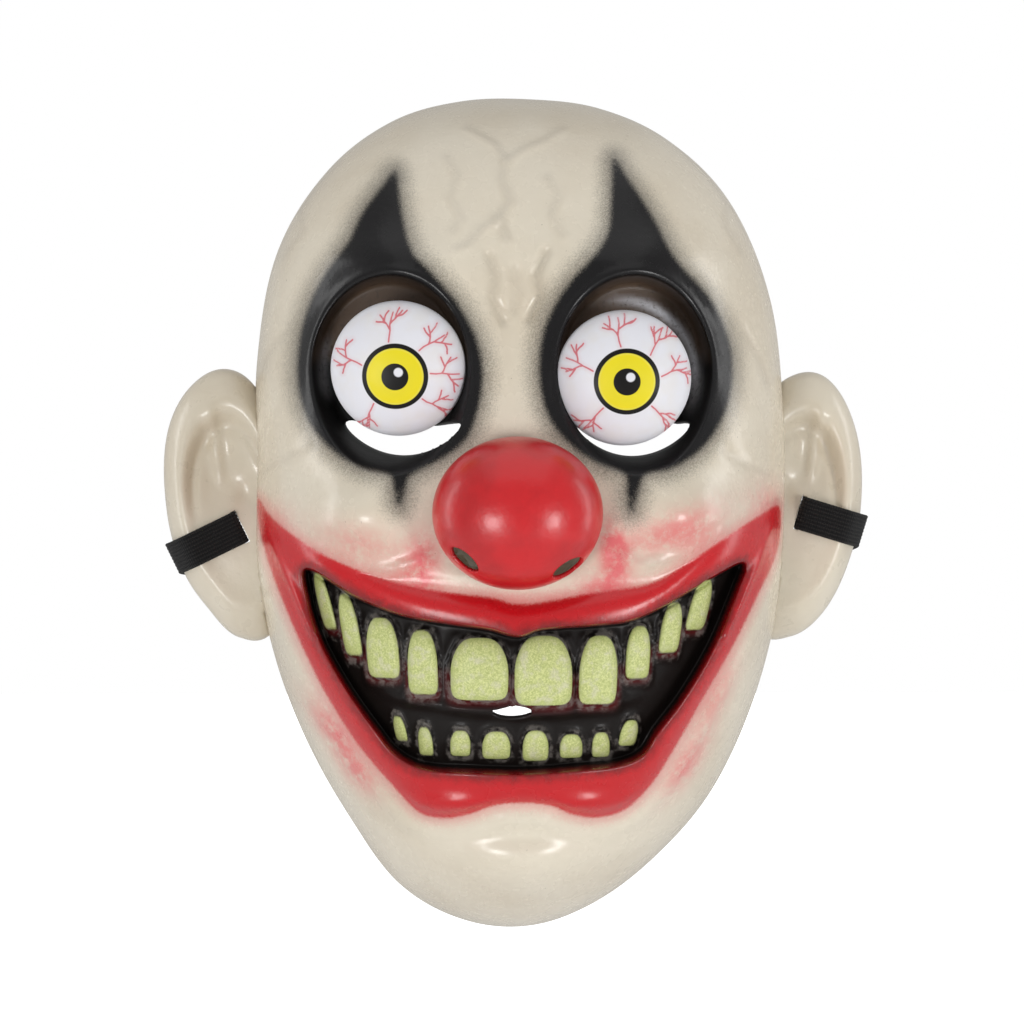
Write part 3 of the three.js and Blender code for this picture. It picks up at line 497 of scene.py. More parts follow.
    def height(self, x, z):
        """The finished outer form, and the marks that the paint follows."""
        height, fade = self.bare(x, z)
        to_lip = inside_distance(self.lips, x, z)
        to_gap = inside_distance(self.gap, x, z)
        height += fade * self.lip_rise * self.roll(to_lip, to_gap)
        height += fade * ramp(0, -6, to_lip) * mounds(APPLES, x, z)
        height += (to_gap < 0) * ramp(0, 3, to_lip) * mounds(LOBES, x, z)
        beside = fade * ramp(-5, -25, z) * (to_lip < 0)
        height += beside * (0.9 * bell(to_lip + 5.5, 1.6) - 0.8 * bell(to_lip + 2.2, 1.5))
        rise, marks = self.mouth(x, z, to_gap)
        height += rise

        brown, scuff, creased = np.zeros((3, len(x)))
        socket = np.full(len(x), 9.0)
        for eye in EYES:
            share, floor, level = self.socket(eye, x, z)
            upper_side = ramp(-0.35, 0.45, level / np.maximum(share, 0.2))
            run = 0.10 * upper_side + 0.30 * (1 - upper_side)
            deep = ramp(1.0, 0, (share - (1 - run)) / run)
            height += np.where(share < 1, (floor - height) * deep, 0)
            height += fade * upper_side * 0.9 * bell(share - 1.045, 0.035)
            # Painted reflection: a brown band on the upper wall of each socket, just inside the
            # rim.
            brown = np.maximum(brown, ramp(0.05, 0.25, level) * ramp(1.0, 0.93, share))
            scuff = np.maximum(scuff, self.scuff(eye, x, z))
            socket = np.minimum(socket, share)
        for rise, line in CREASES:
            near = bell(line_distance(line, x, z), self.CREASE_WIDTH)
            height += fade * rise * near
            # How much the paint darkens the skin along each crease and vein, as painted shade.
            creased = np.maximum(creased, abs(rise) * near * (to_lip < 0))
        marks.update(
            lips=to_lip, gap=to_gap, brown=brown, socket=socket, creased=creased, scuff=scuff)
        return height, marks

    def tooth_middle(self, x, z):
        """How far above the upper teeth's middles a place lies."""
        middles = np.array([row[:2] for row in UPPER_TEETH]) * self.mouth_scale
        return z - np.interp(x, middles[:, 0], middles[:, 1])


def slit_outline(form, eye, spacing):
    """The long oval to see through under an eyeball; its ends curve up."""
    across, up = eye[8] * form.half_width, eye[9] * form.half_height
    turn = np.linspace(0, 2 * np.pi, 60, endpoint=False)
    along = np.cos(turn)
    half, rise, tall = SLIT_SHAPE
    points = np.column_stack((
        across + half * along, up + rise * along**2 + tall * np.sin(turn)))
    return closed_curve(points, spacing)


def breath_outline(form, spacing):
    """The oval hole between the upper and the lower teeth."""
    cx, cz = np.array(BREATH_SLIT[:2]) * form.mouth_scale
    turn = np.linspace(0, 2 * np.pi, 40, endpoint=False)
    points = np.column_stack((
        cx + BREATH_SLIT[2] / 2 * np.cos(turn), cz + BREATH_SLIT[3] / 2 * np.sin(turn)))
    return closed_curve(points, spacing)


def nose_place(form):
    """The middle of the nose ball in mm."""
    x, z = NOSE_ACROSS * form.half_width, NOSE_UP * form.half_height
    depth, _ = form.bare(np.array([x]), np.array([z]))
    return x, -depth[0] - NOSE_OUT, z


def lattice(form, spacing, box):
    """Evenly spread places over the mask, inside a box (left, right, low, high)."""
    wide, tall = form.half_width * math.pi / 2, form.half_height * math.pi / 2
    rows = np.arange(-tall, tall, spacing * math.sqrt(3) / 2)
    columns = np.arange(-wide, wide, spacing)
    u, v = np.meshgrid(columns, rows)
    u = u + (np.arange(len(rows)) % 2)[:, None] * spacing / 2
    u, v = u.ravel(), v.ravel()
    keep = np.hypot(u / wide, v / tall) < 1 - 0.6 * spacing / wide
    x, z = form.unflatten(u[keep], v[keep])
    left, right, low, high = box
    keep = (x > left) & (x < right) & (z > low) & (z < high)
    return x[keep], z[keep]


def face_places(form):
    """Where the face's vertices go: rows that follow each moulded edge, and even
    spreads between them, finer in the mouth, on the lips and in the sockets."""
    rows = []
    gap_way = outward(form.gap)
    for off in (0.9, 0.45, 0.15, -0.15, -0.45, -0.75, -1.05, -1.4, -1.8):
        rows.append(form.gap + gap_way * off)
    lip_way = outward(form.lips)
    for off in (0.6, 0, -0.7):
        rows.append(form.lips + lip_way * off)
    for share in (1.13, 1.06, 1.0, 0.93, 0.82):
        for row in UPPER_TEETH:
            rows.append(form.tooth_row(row, share, 0.75))
        for row in LOWER_TEETH:
            rows.append(form.tooth_row(row, share, 0.7))
    turn = np.linspace(0, 2 * np.pi, 120, endpoint=False)
    for eye in EYES:
        cx, cz = eye[2] * form.half_width, eye[3] * form.half_height
        wide, tall = form.socket_size()
        for share in (1.09, 1.06, 1.03, 1.01, 0.995, 0.975, 0.955, 0.93, 0.905, 0.87):
            rows.append(np.column_stack((
                cx + wide * share * np.cos(turn), cz + tall * share * np.sin(turn))))
        slit = slit_outline(form, eye, 0.8)
        rows.append(slit)
        rows.append(slit + outward(slit) * 0.6)
    breath = breath_outline(form, 0.6)
    rows.append(breath)
    rows.append(breath + outward(breath) * 0.5)
    edges = np.vstack(rows)

    def zone(spacing, box, keep):
        x, z = lattice(form, spacing, box)
        to_gap = inside_distance(form.gap, x, z)
        to_lip = inside_distance(form.lips, x, z)
        sockets = np.min([form.socket(eye, x, z)[0] for eye in EYES], 0)
        chosen = keep(to_gap, to_lip, sockets, x, z)
        return np.column_stack((x[chosen], z[chosen]))

    all_over = (-200, 200, -200, 200)
    low_half = (-85, 85, -95, 10)
    mouth = zone(0.8, low_half, lambda gap, lip, socket, x, z: gap > 2.1)
    lips = zone(1.35, low_half, lambda gap, lip, socket, x, z: (gap < -1.4) & (lip > 1.2))
    sockets = zone(1.5, (-70, 70, 10, 75), lambda gap, lip, socket, x, z: socket < 0.84)
    brow = zone(1.5, (-24, 24, 52, 130), lambda gap, lip, socket, x, z:
                (lip < -1.2) & (socket > 1.12) & (z > 52) & (np.abs(x) < 24))
    rest = zone(2.1, all_over, lambda gap, lip, socket, x, z:
                (lip < -1.2) & (socket > 1.12) & ~((z > 52) & (np.abs(x) < 24)))
    spread = np.vstack((mouth, lips, sockets, brow, rest))
    grid = {}
    cell = 0.45
    for x, z in edges:
        grid.setdefault((round(x / cell), round(z / cell)), []).append((x, z))

    def free(x, z):
        at = (round(x / cell), round(z / cell))
        near = ((at[0] + i, at[1] + j) for i in (-1, 0, 1) for j in (-1, 0, 1))
        return all(math.hypot(x - a, z - b) > cell for key in near for a, b in grid.get(key, ()))

    spread = spread[[free(x, z) for x, z in spread]]
    turn = np.linspace(0, 2 * np.pi, 340, endpoint=False)
    rim = np.column_stack(form.unflatten(
        form.half_width * np.pi / 2 * np.cos(turn), form.half_height * np.pi / 2 * np.sin(turn)))
    return np.vstack((edges, spread, rim))


def store(mesh, name, values):
    """Keeps a number for each vertex where a material can read it."""
    attribute = mesh.attributes.new(name, "FLOAT", "POINT")
    attribute.data.foreach_set("value", np.asarray(values, np.float32))


def to_mesh(body, name):
    """Turns a bmesh into a mesh and frees it."""
    mesh = bpy.data.meshes.new(name)
    body.to_mesh(mesh)
    body.free()
    return mesh


def piece(name, mesh, materials, slot, *nodes):
    """Puts a finished mesh into the scene in place of its solids."""
    thing = bpy.data.objects.new(name, mesh)
    bpy.context.scene.collection.objects.link(thing)
    for material in materials:
        mesh.materials.append(material)
    mesh.polygons.foreach_set("use_smooth", [True] * len(mesh.polygons))
    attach(thing, "root")
    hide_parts(*nodes)
    return thing


def thicken(thing, wall):
    """Gives a skin its wall, inwards, with the lining on the inner side."""
    solid = thing.modifiers.new("wall", "SOLIDIFY")
    solid.thickness = wall
    solid.offset = -1
    solid.material_offset = 1
    solid.use_rim = True


class Paint:
    """Builds one finish: a principled shader fed by textures and stored numbers."""

    def __init__(self, name):
        self.material = bpy.data.materials.new(name)
        self.material.use_nodes = True
        self.tree = self.material.node_tree
        self.shader = self.tree.nodes["Principled BSDF"]
        self.place = self.tree.nodes.new("ShaderNodeTexCoord").outputs["Object"]

    def node(self, kind, **inputs):
        made = self.tree.nodes.new(kind)
        for name, value in inputs.items():
            self.feed(made.inputs[name.replace("_", " ")], value)
        return made

    def feed(self, socket, value):
        if isinstance(value, bpy.types.NodeSocket):
            self.tree.links.new(value, socket)
        else:
            socket.default_value = value

    def stored(self, name):
        made = self.tree.nodes.new("ShaderNodeAttribute")
        made.attribute_name = name
        return made.outputs["Fac"]

    def noise(self, size, detail=2.0, roughness=0.5):
        """Cloudy values round 0.5 whose patches are about size mm across."""
        made = self.node(
            "ShaderNodeTexNoise", Vector=self.place, Scale=1 / (size * MM),
            Detail=detail, Roughness=roughness)
        return made.outputs["Fac"]

    def math(self, operation, first, second=0.0):
        made = self.tree.nodes.new("ShaderNodeMath")
        made.operation = operation
        self.feed(made.inputs[0], first)
        self.feed(made.inputs[1], second)
        return made.outputs[0]

    def times(self, first, second):
        return self.math("MULTIPLY", first, second)

    def plus(self, first, second):
        return self.math("ADD", first, second)

    def grain(self, fine, coarse, share, depth):
        """A fine and a coarse unevenness of the surface, in mm."""
        fine = self.noise(*fine)
        self.bump(self.plus(fine, self.times(self.noise(*coarse), share)), depth)

    def ramp(self, value, low, high):
        """0 at low, 1 at high and smooth between."""
        made = self.tree.nodes.new("ShaderNodeMapRange")
        made.interpolation_type = "SMOOTHSTEP"
        self.feed(made.inputs["Value"], value)
        turned = high < low
        made.inputs["From Min"].default_value = min(low, high)
        made.inputs["From Max"].default_value = max(low, high)
        made.inputs["To Min"].default_value = 1 if turned else 0
        made.inputs["To Max"].default_value = 0 if turned else 1
        return made.outputs["Result"]

    def mix(self, share, first, second):
        made = self.tree.nodes.new("ShaderNodeMix")
        made.data_type = "RGBA"
        self.feed(made.inputs[0], share)
        self.feed(made.inputs[6], first)
        self.feed(made.inputs[7], second)
        return made.outputs[2]

    def ragged(self, value, size, amount):
        """A stored distance with a sprayed, uneven edge."""
        speck = self.math("SUBTRACT", self.noise(size, 3.0, 0.7), 0.5)
        return self.plus(value, self.times(speck, amount))

    def bump(self, height, depth):
        made = self.tree.nodes.new("ShaderNodeBump")
        made.inputs["Distance"].default_value = depth * MM
        self.feed(made.inputs["Height"], height)
        self.feed(self.shader.inputs["Normal"], made.outputs["Normal"])

    def finish(self, base, roughness, coat=0.0, coat_roughness=0.1, specular=0.5):
        self.feed(self.shader.inputs["Base Color"], base)
        self.feed(self.shader.inputs["Roughness"], roughness)
        self.shader.inputs["Coat Weight"].default_value = coat
        self.shader.inputs["Coat Roughness"].default_value = coat_roughness
        self.feed(self.shader.inputs["Specular IOR Level"], specular)
        return self.material


def skin_colour(paint, colours):
    """Cream plastic that is a little uneven, with a few specks of dirt."""
    cream = paint.mix(paint.ramp(paint.noise(38, 3), 0.35, 0.7), colours.skin, colours.warm_tone_and_painted_shade)
    pale = paint.ramp(paint.noise(9, 4, 0.6), 0.5, 0.85)
    cream = paint.mix(paint.times(pale, 0.3), cream, colours.skin)
    speck = paint.ramp(paint.noise(1.1, 1), 0.765, 0.8)
    sparse = paint.ramp(paint.noise(14, 1), 0.55, 0.62)
    dirt = paint.times(paint.times(speck, sparse), 0.55)
    return paint.mix(dirt, cream, colours.brown)


def face_paint(colours):
    """The face: cream skin, blush, black make-up, red lips, dark gums and teeth, with painted shade
    along the creases and teeth's edges and a painted reflection in each socket.
    """
    paint = Paint("painted_face")
    base = skin_colour(paint, colours)
    # Painted shade: the skin darkened along the creases and raised veins.
    base = paint.mix(paint.times(paint.stored("creased"), 1 / 15), base, colours.brown)
    blush = paint.times(paint.stored("blush"), paint.ramp(paint.noise(4, 5, 0.75), 0.15, 0.6))
    base = paint.mix(blush, base, colours.blush)

    black = paint.stored("black")
    haze = paint.times(paint.ramp(paint.ragged(black, 0.45, 9.0), -7.0, 1.5), 0.75)
    base = paint.mix(haze, base, colours.black)
    edge = paint.ramp(paint.ragged(black, 0.4, 3.0), -1.3, 0.9)
    base = paint.mix(edge, base, colours.black)
    # Painted reflection: a brown band on the upper wall of each socket.
    brown = paint.times(paint.stored("brown"), paint.ramp(paint.noise(3, 4, 0.7), 0.05, 0.5))
    base = paint.mix(paint.times(brown, 0.85), base, colours.brown)
    # A pale arc on the socket's floor beside each eyeball.
    scuff = paint.times(paint.stored("scuff"), paint.ramp(paint.noise(1.5, 4, 0.7), 0.2, 0.5))
    base = paint.mix(scuff, base, colours.eye)

    lips = paint.stored("lips")
    gap = paint.stored("gap")
    glow = paint.times(paint.ramp(paint.ragged(lips, 0.5, 4.0), -4.5, 0.5), 0.5)
    base = paint.mix(glow, base, colours.blush)
    lip = paint.ramp(paint.ragged(lips, 0.7, 1.5), -0.7, 0.5)
    inner = paint.ramp(paint.ragged(gap, 3.0, 4.0), -4.0, 0.2)
    red = paint.mix(inner, colours.lip, colours.lip_dark)
    # The lips paler at their corners.
    paler = paint.times(paint.stored("corner"), paint.times(paint.noise(4, 3), 0.15))
    red = paint.mix(paler, red, colours.lip_light)
    pale_edge = paint.times(paint.ramp(paint.ragged(lips, 1.2, 3.0), 2.0, 0.0), 0.06)
    red = paint.mix(pale_edge, red, colours.lip_light)
    base = paint.mix(lip, base, red)

    inside = paint.ramp(paint.ragged(gap, 0.9, 1.2), 0.0, 0.9)
    gum = paint.mix(paint.times(paint.stored("under_teeth"), 0.8), colours.gum, colours.maroon)
    teeth = paint.stored("teeth")
    near = paint.ramp(paint.ragged(teeth, 1.2, 1.6), -1.6, -0.1)
    haze = paint.times(near, paint.ramp(paint.noise(2.6, 3), 0.4, 0.62))
    gum = paint.mix(paint.times(haze, 0.6), gum, colours.sheen)
    base = paint.mix(inside, base, gum)
    speckle = paint.ramp(paint.noise(0.55, 3, 0.8), 0.36, 0.66)
    enamel = paint.mix(speckle, colours.tooth_dark, colours.tooth)
    pale = paint.times(paint.ramp(paint.noise(3.2, 3, 0.6), 0.45, 0.7), 0.45)
    enamel = paint.mix(pale, enamel, colours.lining)
    # Painted shade: the teeth darker toward their edges.
    shade = paint.times(paint.ramp(teeth, 1.6, 0.2), 0.5)
    enamel = paint.mix(shade, enamel, colours.tooth_dark)
    on_tooth = paint.ramp(paint.ragged(teeth, 0.5, 0.35), -0.1, 0.22)
    base = paint.mix(on_tooth, base, enamel)

    rough = paint.times(paint.noise(6, 3), 0.14)
    rough = paint.plus(rough, 0.2)
    rough = paint.plus(rough, paint.times(on_tooth, 0.1))
    rough = paint.plus(rough, paint.times(inside, 0.22))
    sunk = paint.ramp(paint.stored("socket"), 1.0, 0.95)
    rough = paint.plus(rough, paint.times(sunk, 0.25))
    paint.grain((2.2, 3), (12, 2), 1.6, 0.07)
    dull = paint.math("MAXIMUM", paint.math("SUBTRACT", inside, on_tooth), paint.times(edge, 0.8))
    dull = paint.times(dull, 0.32)
    shine = paint.math("SUBTRACT", 0.5, dull)
    return paint.finish(base, rough, coat=0.08, coat_roughness=0.15, specular=shine)


def plain_shell(colours, name, base, tint):
    """Unpainted or one-colour moulded plastic with a faint grain."""
    paint = Paint(name)
    patchy = paint.times(paint.ramp(paint.noise(16, 4), 0.3, 0.75), 0.5)
    mixed = paint.mix(patchy, base, tint)
    rough = paint.plus(paint.times(paint.noise(5, 3), 0.2), 0.3)
    paint.bump(paint.noise(1.6, 3), 0.1)
    return paint.finish(mixed, rough, coat=0.1)


def ear_paint(colours):
    """The ears: cream skin, with painted shade darkening the hollows."""
    paint = Paint("ear_skin")
    base = skin_colour(paint, colours)
    # Painted shade: the ear's hollows darkened toward the warmer cream.
    base = paint.mix(paint.times(paint.stored("hollow"), 0.55), base, colours.warm_tone_and_painted_shade)
    rough = paint.plus(paint.times(paint.noise(6, 3), 0.14), 0.22)
    paint.grain((2.2, 3), (12, 2), 1.6, 0.12)
    return paint.finish(base, rough, coat=0.2, coat_roughness=0.12)


def nose_paint(colours):
    """The nose: deep glossy red, with painted shade darkening it where it meets the face."""
    paint = Paint("nose_red")
    patchy = paint.times(paint.ramp(paint.noise(12, 4), 0.35, 0.75), 0.35)
    base = paint.mix(patchy, colours.nose, colours.lip_dark)
    # Painted shade where the ball meets the face.
    edge = paint.times(paint.stored("seat"), 0.5)
    base = paint.mix(edge, base, colours.lip_dark)
    rough = paint.plus(paint.times(paint.noise(4, 3), 0.1), 0.27)
    paint.grain((1.8, 2), (9, 2), 1.4, 0.09)
    return paint.finish(base, rough, coat=0.2, coat_roughness=0.2)


def eye_paint(colours):
    """The eyeballs: printed veins, a black ring, a yellow iris and a pupil."""
    paint = Paint("eye_print")
    from_middle = paint.stored("from_middle")
    white = paint.mix(
        paint.times(paint.ramp(paint.noise(7, 3), 0.4, 0.75), 0.25),
        colours.eye, colours.skin)
    pinkish = paint.times(paint.ramp(paint.stored("vein"), 1.6, 0.2), 0.12)
    white = paint.mix(pinkish, white, colours.vein)
    line = paint.ramp(paint.ragged(paint.stored("vein"), 0.7, 0.12), 0.34, 0.12)
    base = paint.mix(paint.times(line, 0.85), white, colours.vein)
    base = paint.mix(paint.ramp(from_middle, 9.5, 9.3), base, colours.pupil)
    middle = paint.times(paint.ramp(from_middle, 7.4, 4.0), 0.05)
    iris = paint.mix(middle, colours.iris, colours.tooth_dark)
    lime = paint.mix(paint.times(paint.ramp(from_middle, 7.5, 7.7), 0.15), iris, colours.tooth)
    base = paint.mix(paint.ramp(from_middle, 8.2, 8.0), base, lime)
    base = paint.mix(paint.ramp(from_middle, 3.95, 3.75), base, colours.pupil)
    base = paint.mix(paint.ramp(paint.stored("glint"), 1.5, 1.1), base, colours.eye)
    rough = paint.plus(paint.times(paint.noise(3, 2), 0.1), 0.34)
    paint.bump(paint.noise(2.5, 2), 0.03)
    return paint.finish(base, rough, specular=0.2)


def strap_paint(colours):
    """Black elastic: lengthwise cords with fine cross threads, a little paler on the raised weave
    as painted sheen.
    """
    paint = Paint("woven_elastic")
    thread = paint.math("SINE", paint.times(paint.stored("along"), 2 * math.pi / 0.7))
    cord = paint.math("COSINE", paint.times(paint.stored("across"), 2 * math.pi / 1.1))
    weave = paint.plus(paint.times(cord, 0.6), paint.times(thread, 0.3))
    weave = paint.plus(weave, paint.times(paint.noise(0.5, 3), 0.6))
    # Painted sheen: the raised weave a little paler.
    pale = paint.times(paint.ramp(weave, 0.3, 1.2), 0.06)
    base = paint.mix(pale, colours.strap, colours.sheen)
    paint.bump(weave, 0.22)
    paint.shader.inputs["Sheen Weight"].default_value = 0.04
    return paint.finish(base, 0.85, specular=0.25)


def blush_share(x, z):
    """How strong the pink haze is at each place."""
    blush = np.zeros(len(x))
    for across, up, wide, tall, strength, slant in BLUSH:
        c, s = math.cos(math.radians(slant)), math.sin(math.radians(slant))
        a, b = x - across, z - up
        blush += strength * bell(a * c + b * s, wide) * bell(b * c - a * s, tall)
    return np.clip(1.7 * blush, 0, 0.95)


class MASK_OT_face(bpy.types.Operator):
    """Moulds and paints the face with its lips, teeth and eye sockets"""

    bl_idname = "mask.face"
    bl_label = "Face"

    def execute(self, context):
        sizes, colours = context.scene.mask_sizes, context.scene.mask_colours
        form = FaceForm(sizes)
        places = face_places(form)
        u, v = form.flatten(places[:, 0], places[:, 1])
        flat = [Vector(pair) for pair in zip(u, v)]
        result = delaunay_2d_cdt(flat, [], [], 0, 1e-6)
        at = np.array([origin[0] for origin in result[3]])
        x, z = places[at].T
        faces = np.array(result[2])
        height, marks = form.height(x, z)
        centre_x, centre_z = x[faces].mean(1), z[faces].mean(1)
        holes = [slit_outline(form, eye, 0.8) for eye in EYES] + [breath_outline(form, 0.6)]
        keep = np.ones(len(faces), bool)
        for hole in holes:
            keep &= inside_distance(hole, centre_x, centre_z) < 0
        nose_x, _, nose_z = nose_place(form)
        behind = np.hypot(
            (centre_x - nose_x) / (sizes.nose_width / MM / 2),
            (centre_z - nose_z) / (sizes.nose_height / MM / 2))
        keep &= behind > 0.86
        faces = faces[keep]
        mesh = bpy.data.meshes.new("mask_face")
        points = np.column_stack((x, -height, z)) * MM
        mesh.from_pydata(points.tolist(), [], faces.tolist())
        for name, values in marks.items():
            store(mesh, name, values)
        black = [
            inside_distance(closed_curve(rows, 1.2), x, z) for rows in (BLACK_LEFT, BLACK_RIGHT)]
        store(mesh, "black", np.maximum(*black))
        store(mesh, "blush", blush_share(x, z))
        # Where the lips are paler at their corners.
        corner = np.maximum(
            bell(x + 74, 5) * bell(z + 6, 14), bell(x - 75, 5) * bell(z + 6, 14))
        store(mesh, "corner", corner)
        loose = bmesh.new()
        loose.from_mesh(mesh)
        bmesh.ops.delete(
            loose, geom=[vert for vert in loose.verts if not vert.link_faces], context="VERTS")
        bmesh.ops.recalc_face_normals(loose, faces=loose.faces)
        if sum(face.normal.y for face in loose.faces) > 0:
            bmesh.ops.reverse_faces(loose, faces=loose.faces)
        loose.to_mesh(mesh)
        loose.free()
        lining = plain_shell(colours, "shell_lining", colours.lining, colours.warm_tone_and_painted_shade)
        thing = piece("mask_face", mesh, [face_paint(colours), lining], "shell", "mask_shell")
        thicken(thing, sizes.wall)
        return {"FINISHED"}


def grow(body, edges, loop, spots):
    """Extrudes a ring of edges to new spots, and gives its new vertices in order."""
    grown = bmesh.ops.extrude_edge_only(body, edges=edges)
    new = {item for item in grown["geom"] if isinstance(item, bmesh.types.BMVert)}
    loop = [
        next(edge.other_vert(vert) for edge in vert.link_edges if edge.other_vert(vert) in new)
        for vert in loop]
    for vert, spot in zip(loop, spots):
        vert.co = spot
    return loop


def ring_skin(spokes, rings, place):
    """A round skin grown from its middle, ring by ring, each set by place(share, turns)."""
    skin = bmesh.new()
    turns = np.arange(spokes) * 2 * math.pi / spokes
    middle = bmesh.ops.create_circle(skin, cap_ends=True, cap_tris=True, segments=spokes, radius=1)
    hub = next(vert for vert in middle["verts"] if len(vert.link_edges) == spokes)
    hub.co = place(0, turns)[0]
    loop = sorted(
        (vert for vert in middle["verts"] if vert is not hub),
        key=lambda vert: math.atan2(vert.co.y, vert.co.x) % (2 * math.pi))
    for vert, spot in zip(loop, place(1 / rings, turns)):
        vert.co = spot
    for ring in range(2, rings + 1):
        edges = [edge for edge in skin.edges if edge.is_boundary]
        loop = grow(skin, edges, loop, place(ring / rings, turns))
    bmesh.ops.recalc_face_normals(skin, faces=skin.faces)
    return skin


class EarForm:
    """The outer form of one ear in mm."""

    SETBACK = 6
    HALF_WIDE = 21
    HALF_TALL = 41
    CONCHA = 7

    def __init__(self, form, sizes, row):
        _, self.side, across, up, _, _, rim = row
        self.middle = (across * form.half_width, up * form.half_height)
        self.thick = sizes.ear_thickness / MM
        self.reach = curve_ring(rim)

    def split(self, x, z):
        """Across and up as shares of the ear, and the share of the way to its edge."""
        across = (x - self.middle[0]) * self.side / self.HALF_WIDE
        up = (z - self.middle[1]) / self.HALF_TALL
        share = np.minimum(1, np.hypot(across, up) / self.reach(np.arctan2(up, across)))
        return across, up, share

    def concha(self, across, up):
        """1 in the middle of the ear's large hollow."""
        return bell(across - 0.3, 0.4) * bell(up - 0.38, 0.36)

    def core(self, x, z):
        """The form that the strap lies on."""
        across, up, share = self.split(x, z)
        dome = self.thick * (1 - share**4) ** 0.4
        helix = 3 * bell(share - 0.78, 0.13)
        return dome + (helix - self.CONCHA * self.concha(across, up)) * (1 - share**4)

    def height(self, x, z):
        """The core with the finer folds cut into it, and how far in a hollow, for the painted shade
        there.
        """
        across, up, share = self.split(x, z)
        groove = 2.4 * bell(share - 0.6, 0.07) * ramp(-0.15, 0.2, up) * ramp(-0.5, 0.1, across)
        bowl = 3.2 * bell(across + 0.15, 0.2) * bell(up - 0.1, 0.14)
        fold = 2.0 * bell(across - 0.2 - 0.25 * up, 0.1) * ramp(0.1, 0.3, up) * ramp(0.85, 0.6, up)
        hollow = np.clip(self.concha(across, up) + bowl / 3, 0, 1)
        return self.core(x, z) + (1 - share**4) * (fold - groove - bowl), hollow


def inside_head(body, form):
    """The faces of an ear that would lie in the hollow of the head."""
    faces = list(body.faces)
    middles = np.array([face.calc_center_median() for face in faces]) / MM
    share = form.share(middles[:, 0], middles[:, 2])
    depth, _ = form.bare(middles[:, 0], middles[:, 2])
    hidden = (share < 0.985) & (-middles[:, 1] < depth - 0.6)
    return [face for face, gone in zip(faces, hidden) if gone]


class MASK_OT_ears(bpy.types.Operator):
    """Moulds both ears with their rolled edges and hollows"""

    bl_idname = "mask.ears"
    bl_label = "Ears"

    def execute(self, context):
        sizes, colours = context.scene.mask_sizes, context.scene.mask_colours
        form = FaceForm(sizes)
        skin = ear_paint(colours)
        lining = plain_shell(colours, "ear_lining", colours.lining, colours.warm_tone_and_painted_shade)
        for row in SIDES:
            ear = EarForm(form, sizes, row)

            def place(share, turns, ear=ear):
                reach = ear.reach(turns) * math.sin(share * math.pi / 2)
                x = ear.middle[0] + ear.side * reach * ear.HALF_WIDE * np.cos(turns)
                z = ear.middle[1] + reach * ear.HALF_TALL * np.sin(turns)
                height = ear.height(x, z)[0] if share < 1 else np.zeros(len(x))
                return np.column_stack((x, -ear.SETBACK - height, z)) * MM

            body = ring_skin(120, 56, place)
            bmesh.ops.delete(body, geom=inside_head(body, form), context="FACES")
            if sum(face.normal.y for face in body.faces) > 0:
                bmesh.ops.reverse_faces(body, faces=body.faces)
            cut_slot(body, form, sizes, row)
            mesh = to_mesh(body, f"mask_ear_{row[0]}")
            co = np.array([vert.co for vert in mesh.vertices]) / MM
            # How far in a hollow, where the paint lays painted shade.
            store(mesh, "hollow", ear.height(co[:, 0], co[:, 2])[1])
            thing = piece(mesh.name, mesh, [skin, lining], "shell", "mask_shell")
            thicken(thing, sizes.wall)
        return {"FINISHED"}


def slot_place(form, row):
    """The middle of the slot that the strap passes through, just outside the cheek."""
    _, side, _, _, strap_up, _, _ = row
    reach = float(form.reach(0 if side > 0 else math.pi)) * form.half_width
    return side * (reach + SLOT_OUT), strap_up * form.half_height


def cut_slot(body, form, sizes, row):
    """Cuts the strap's slot through an ear's skin with four planes."""
    x, z = slot_place(form, row)
    fall = math.radians(row[1] * row[5])
    across = Vector((math.cos(fall), 0, -math.sin(fall)))
    along = Vector((math.sin(fall), 0, math.cos(fall)))
    middle = Vector((x, 0, z)) * MM
    half_wide, half_tall = 0.75 * MM, sizes.strap_width / 2 + 0.15 * MM
    near = [
        face for face in body.faces
        if (face.calc_center_median() - middle).xz.length < 14 * MM]
    for way, half in ((across, half_wide), (along, half_tall)):
        for sign in (-1, 1):
            parts = {item for face in near for item in (face, *face.edges, *face.verts)}
            made = bmesh.ops.bisect_plane(
                body, geom=list(parts), dist=1e-6, plane_no=way,
                plane_co=middle + way * sign * half)
            near = list({item for item in made["geom"] if isinstance(item, bmesh.types.BMFace)})
    gone = []
    for face in near:
        off = face.calc_center_median() - middle
        if abs(off.dot(across)) < half_wide and abs(off.dot(along)) < half_tall:
            gone.append(face)
    bmesh.ops.delete(body, geom=gone, context="FACES")


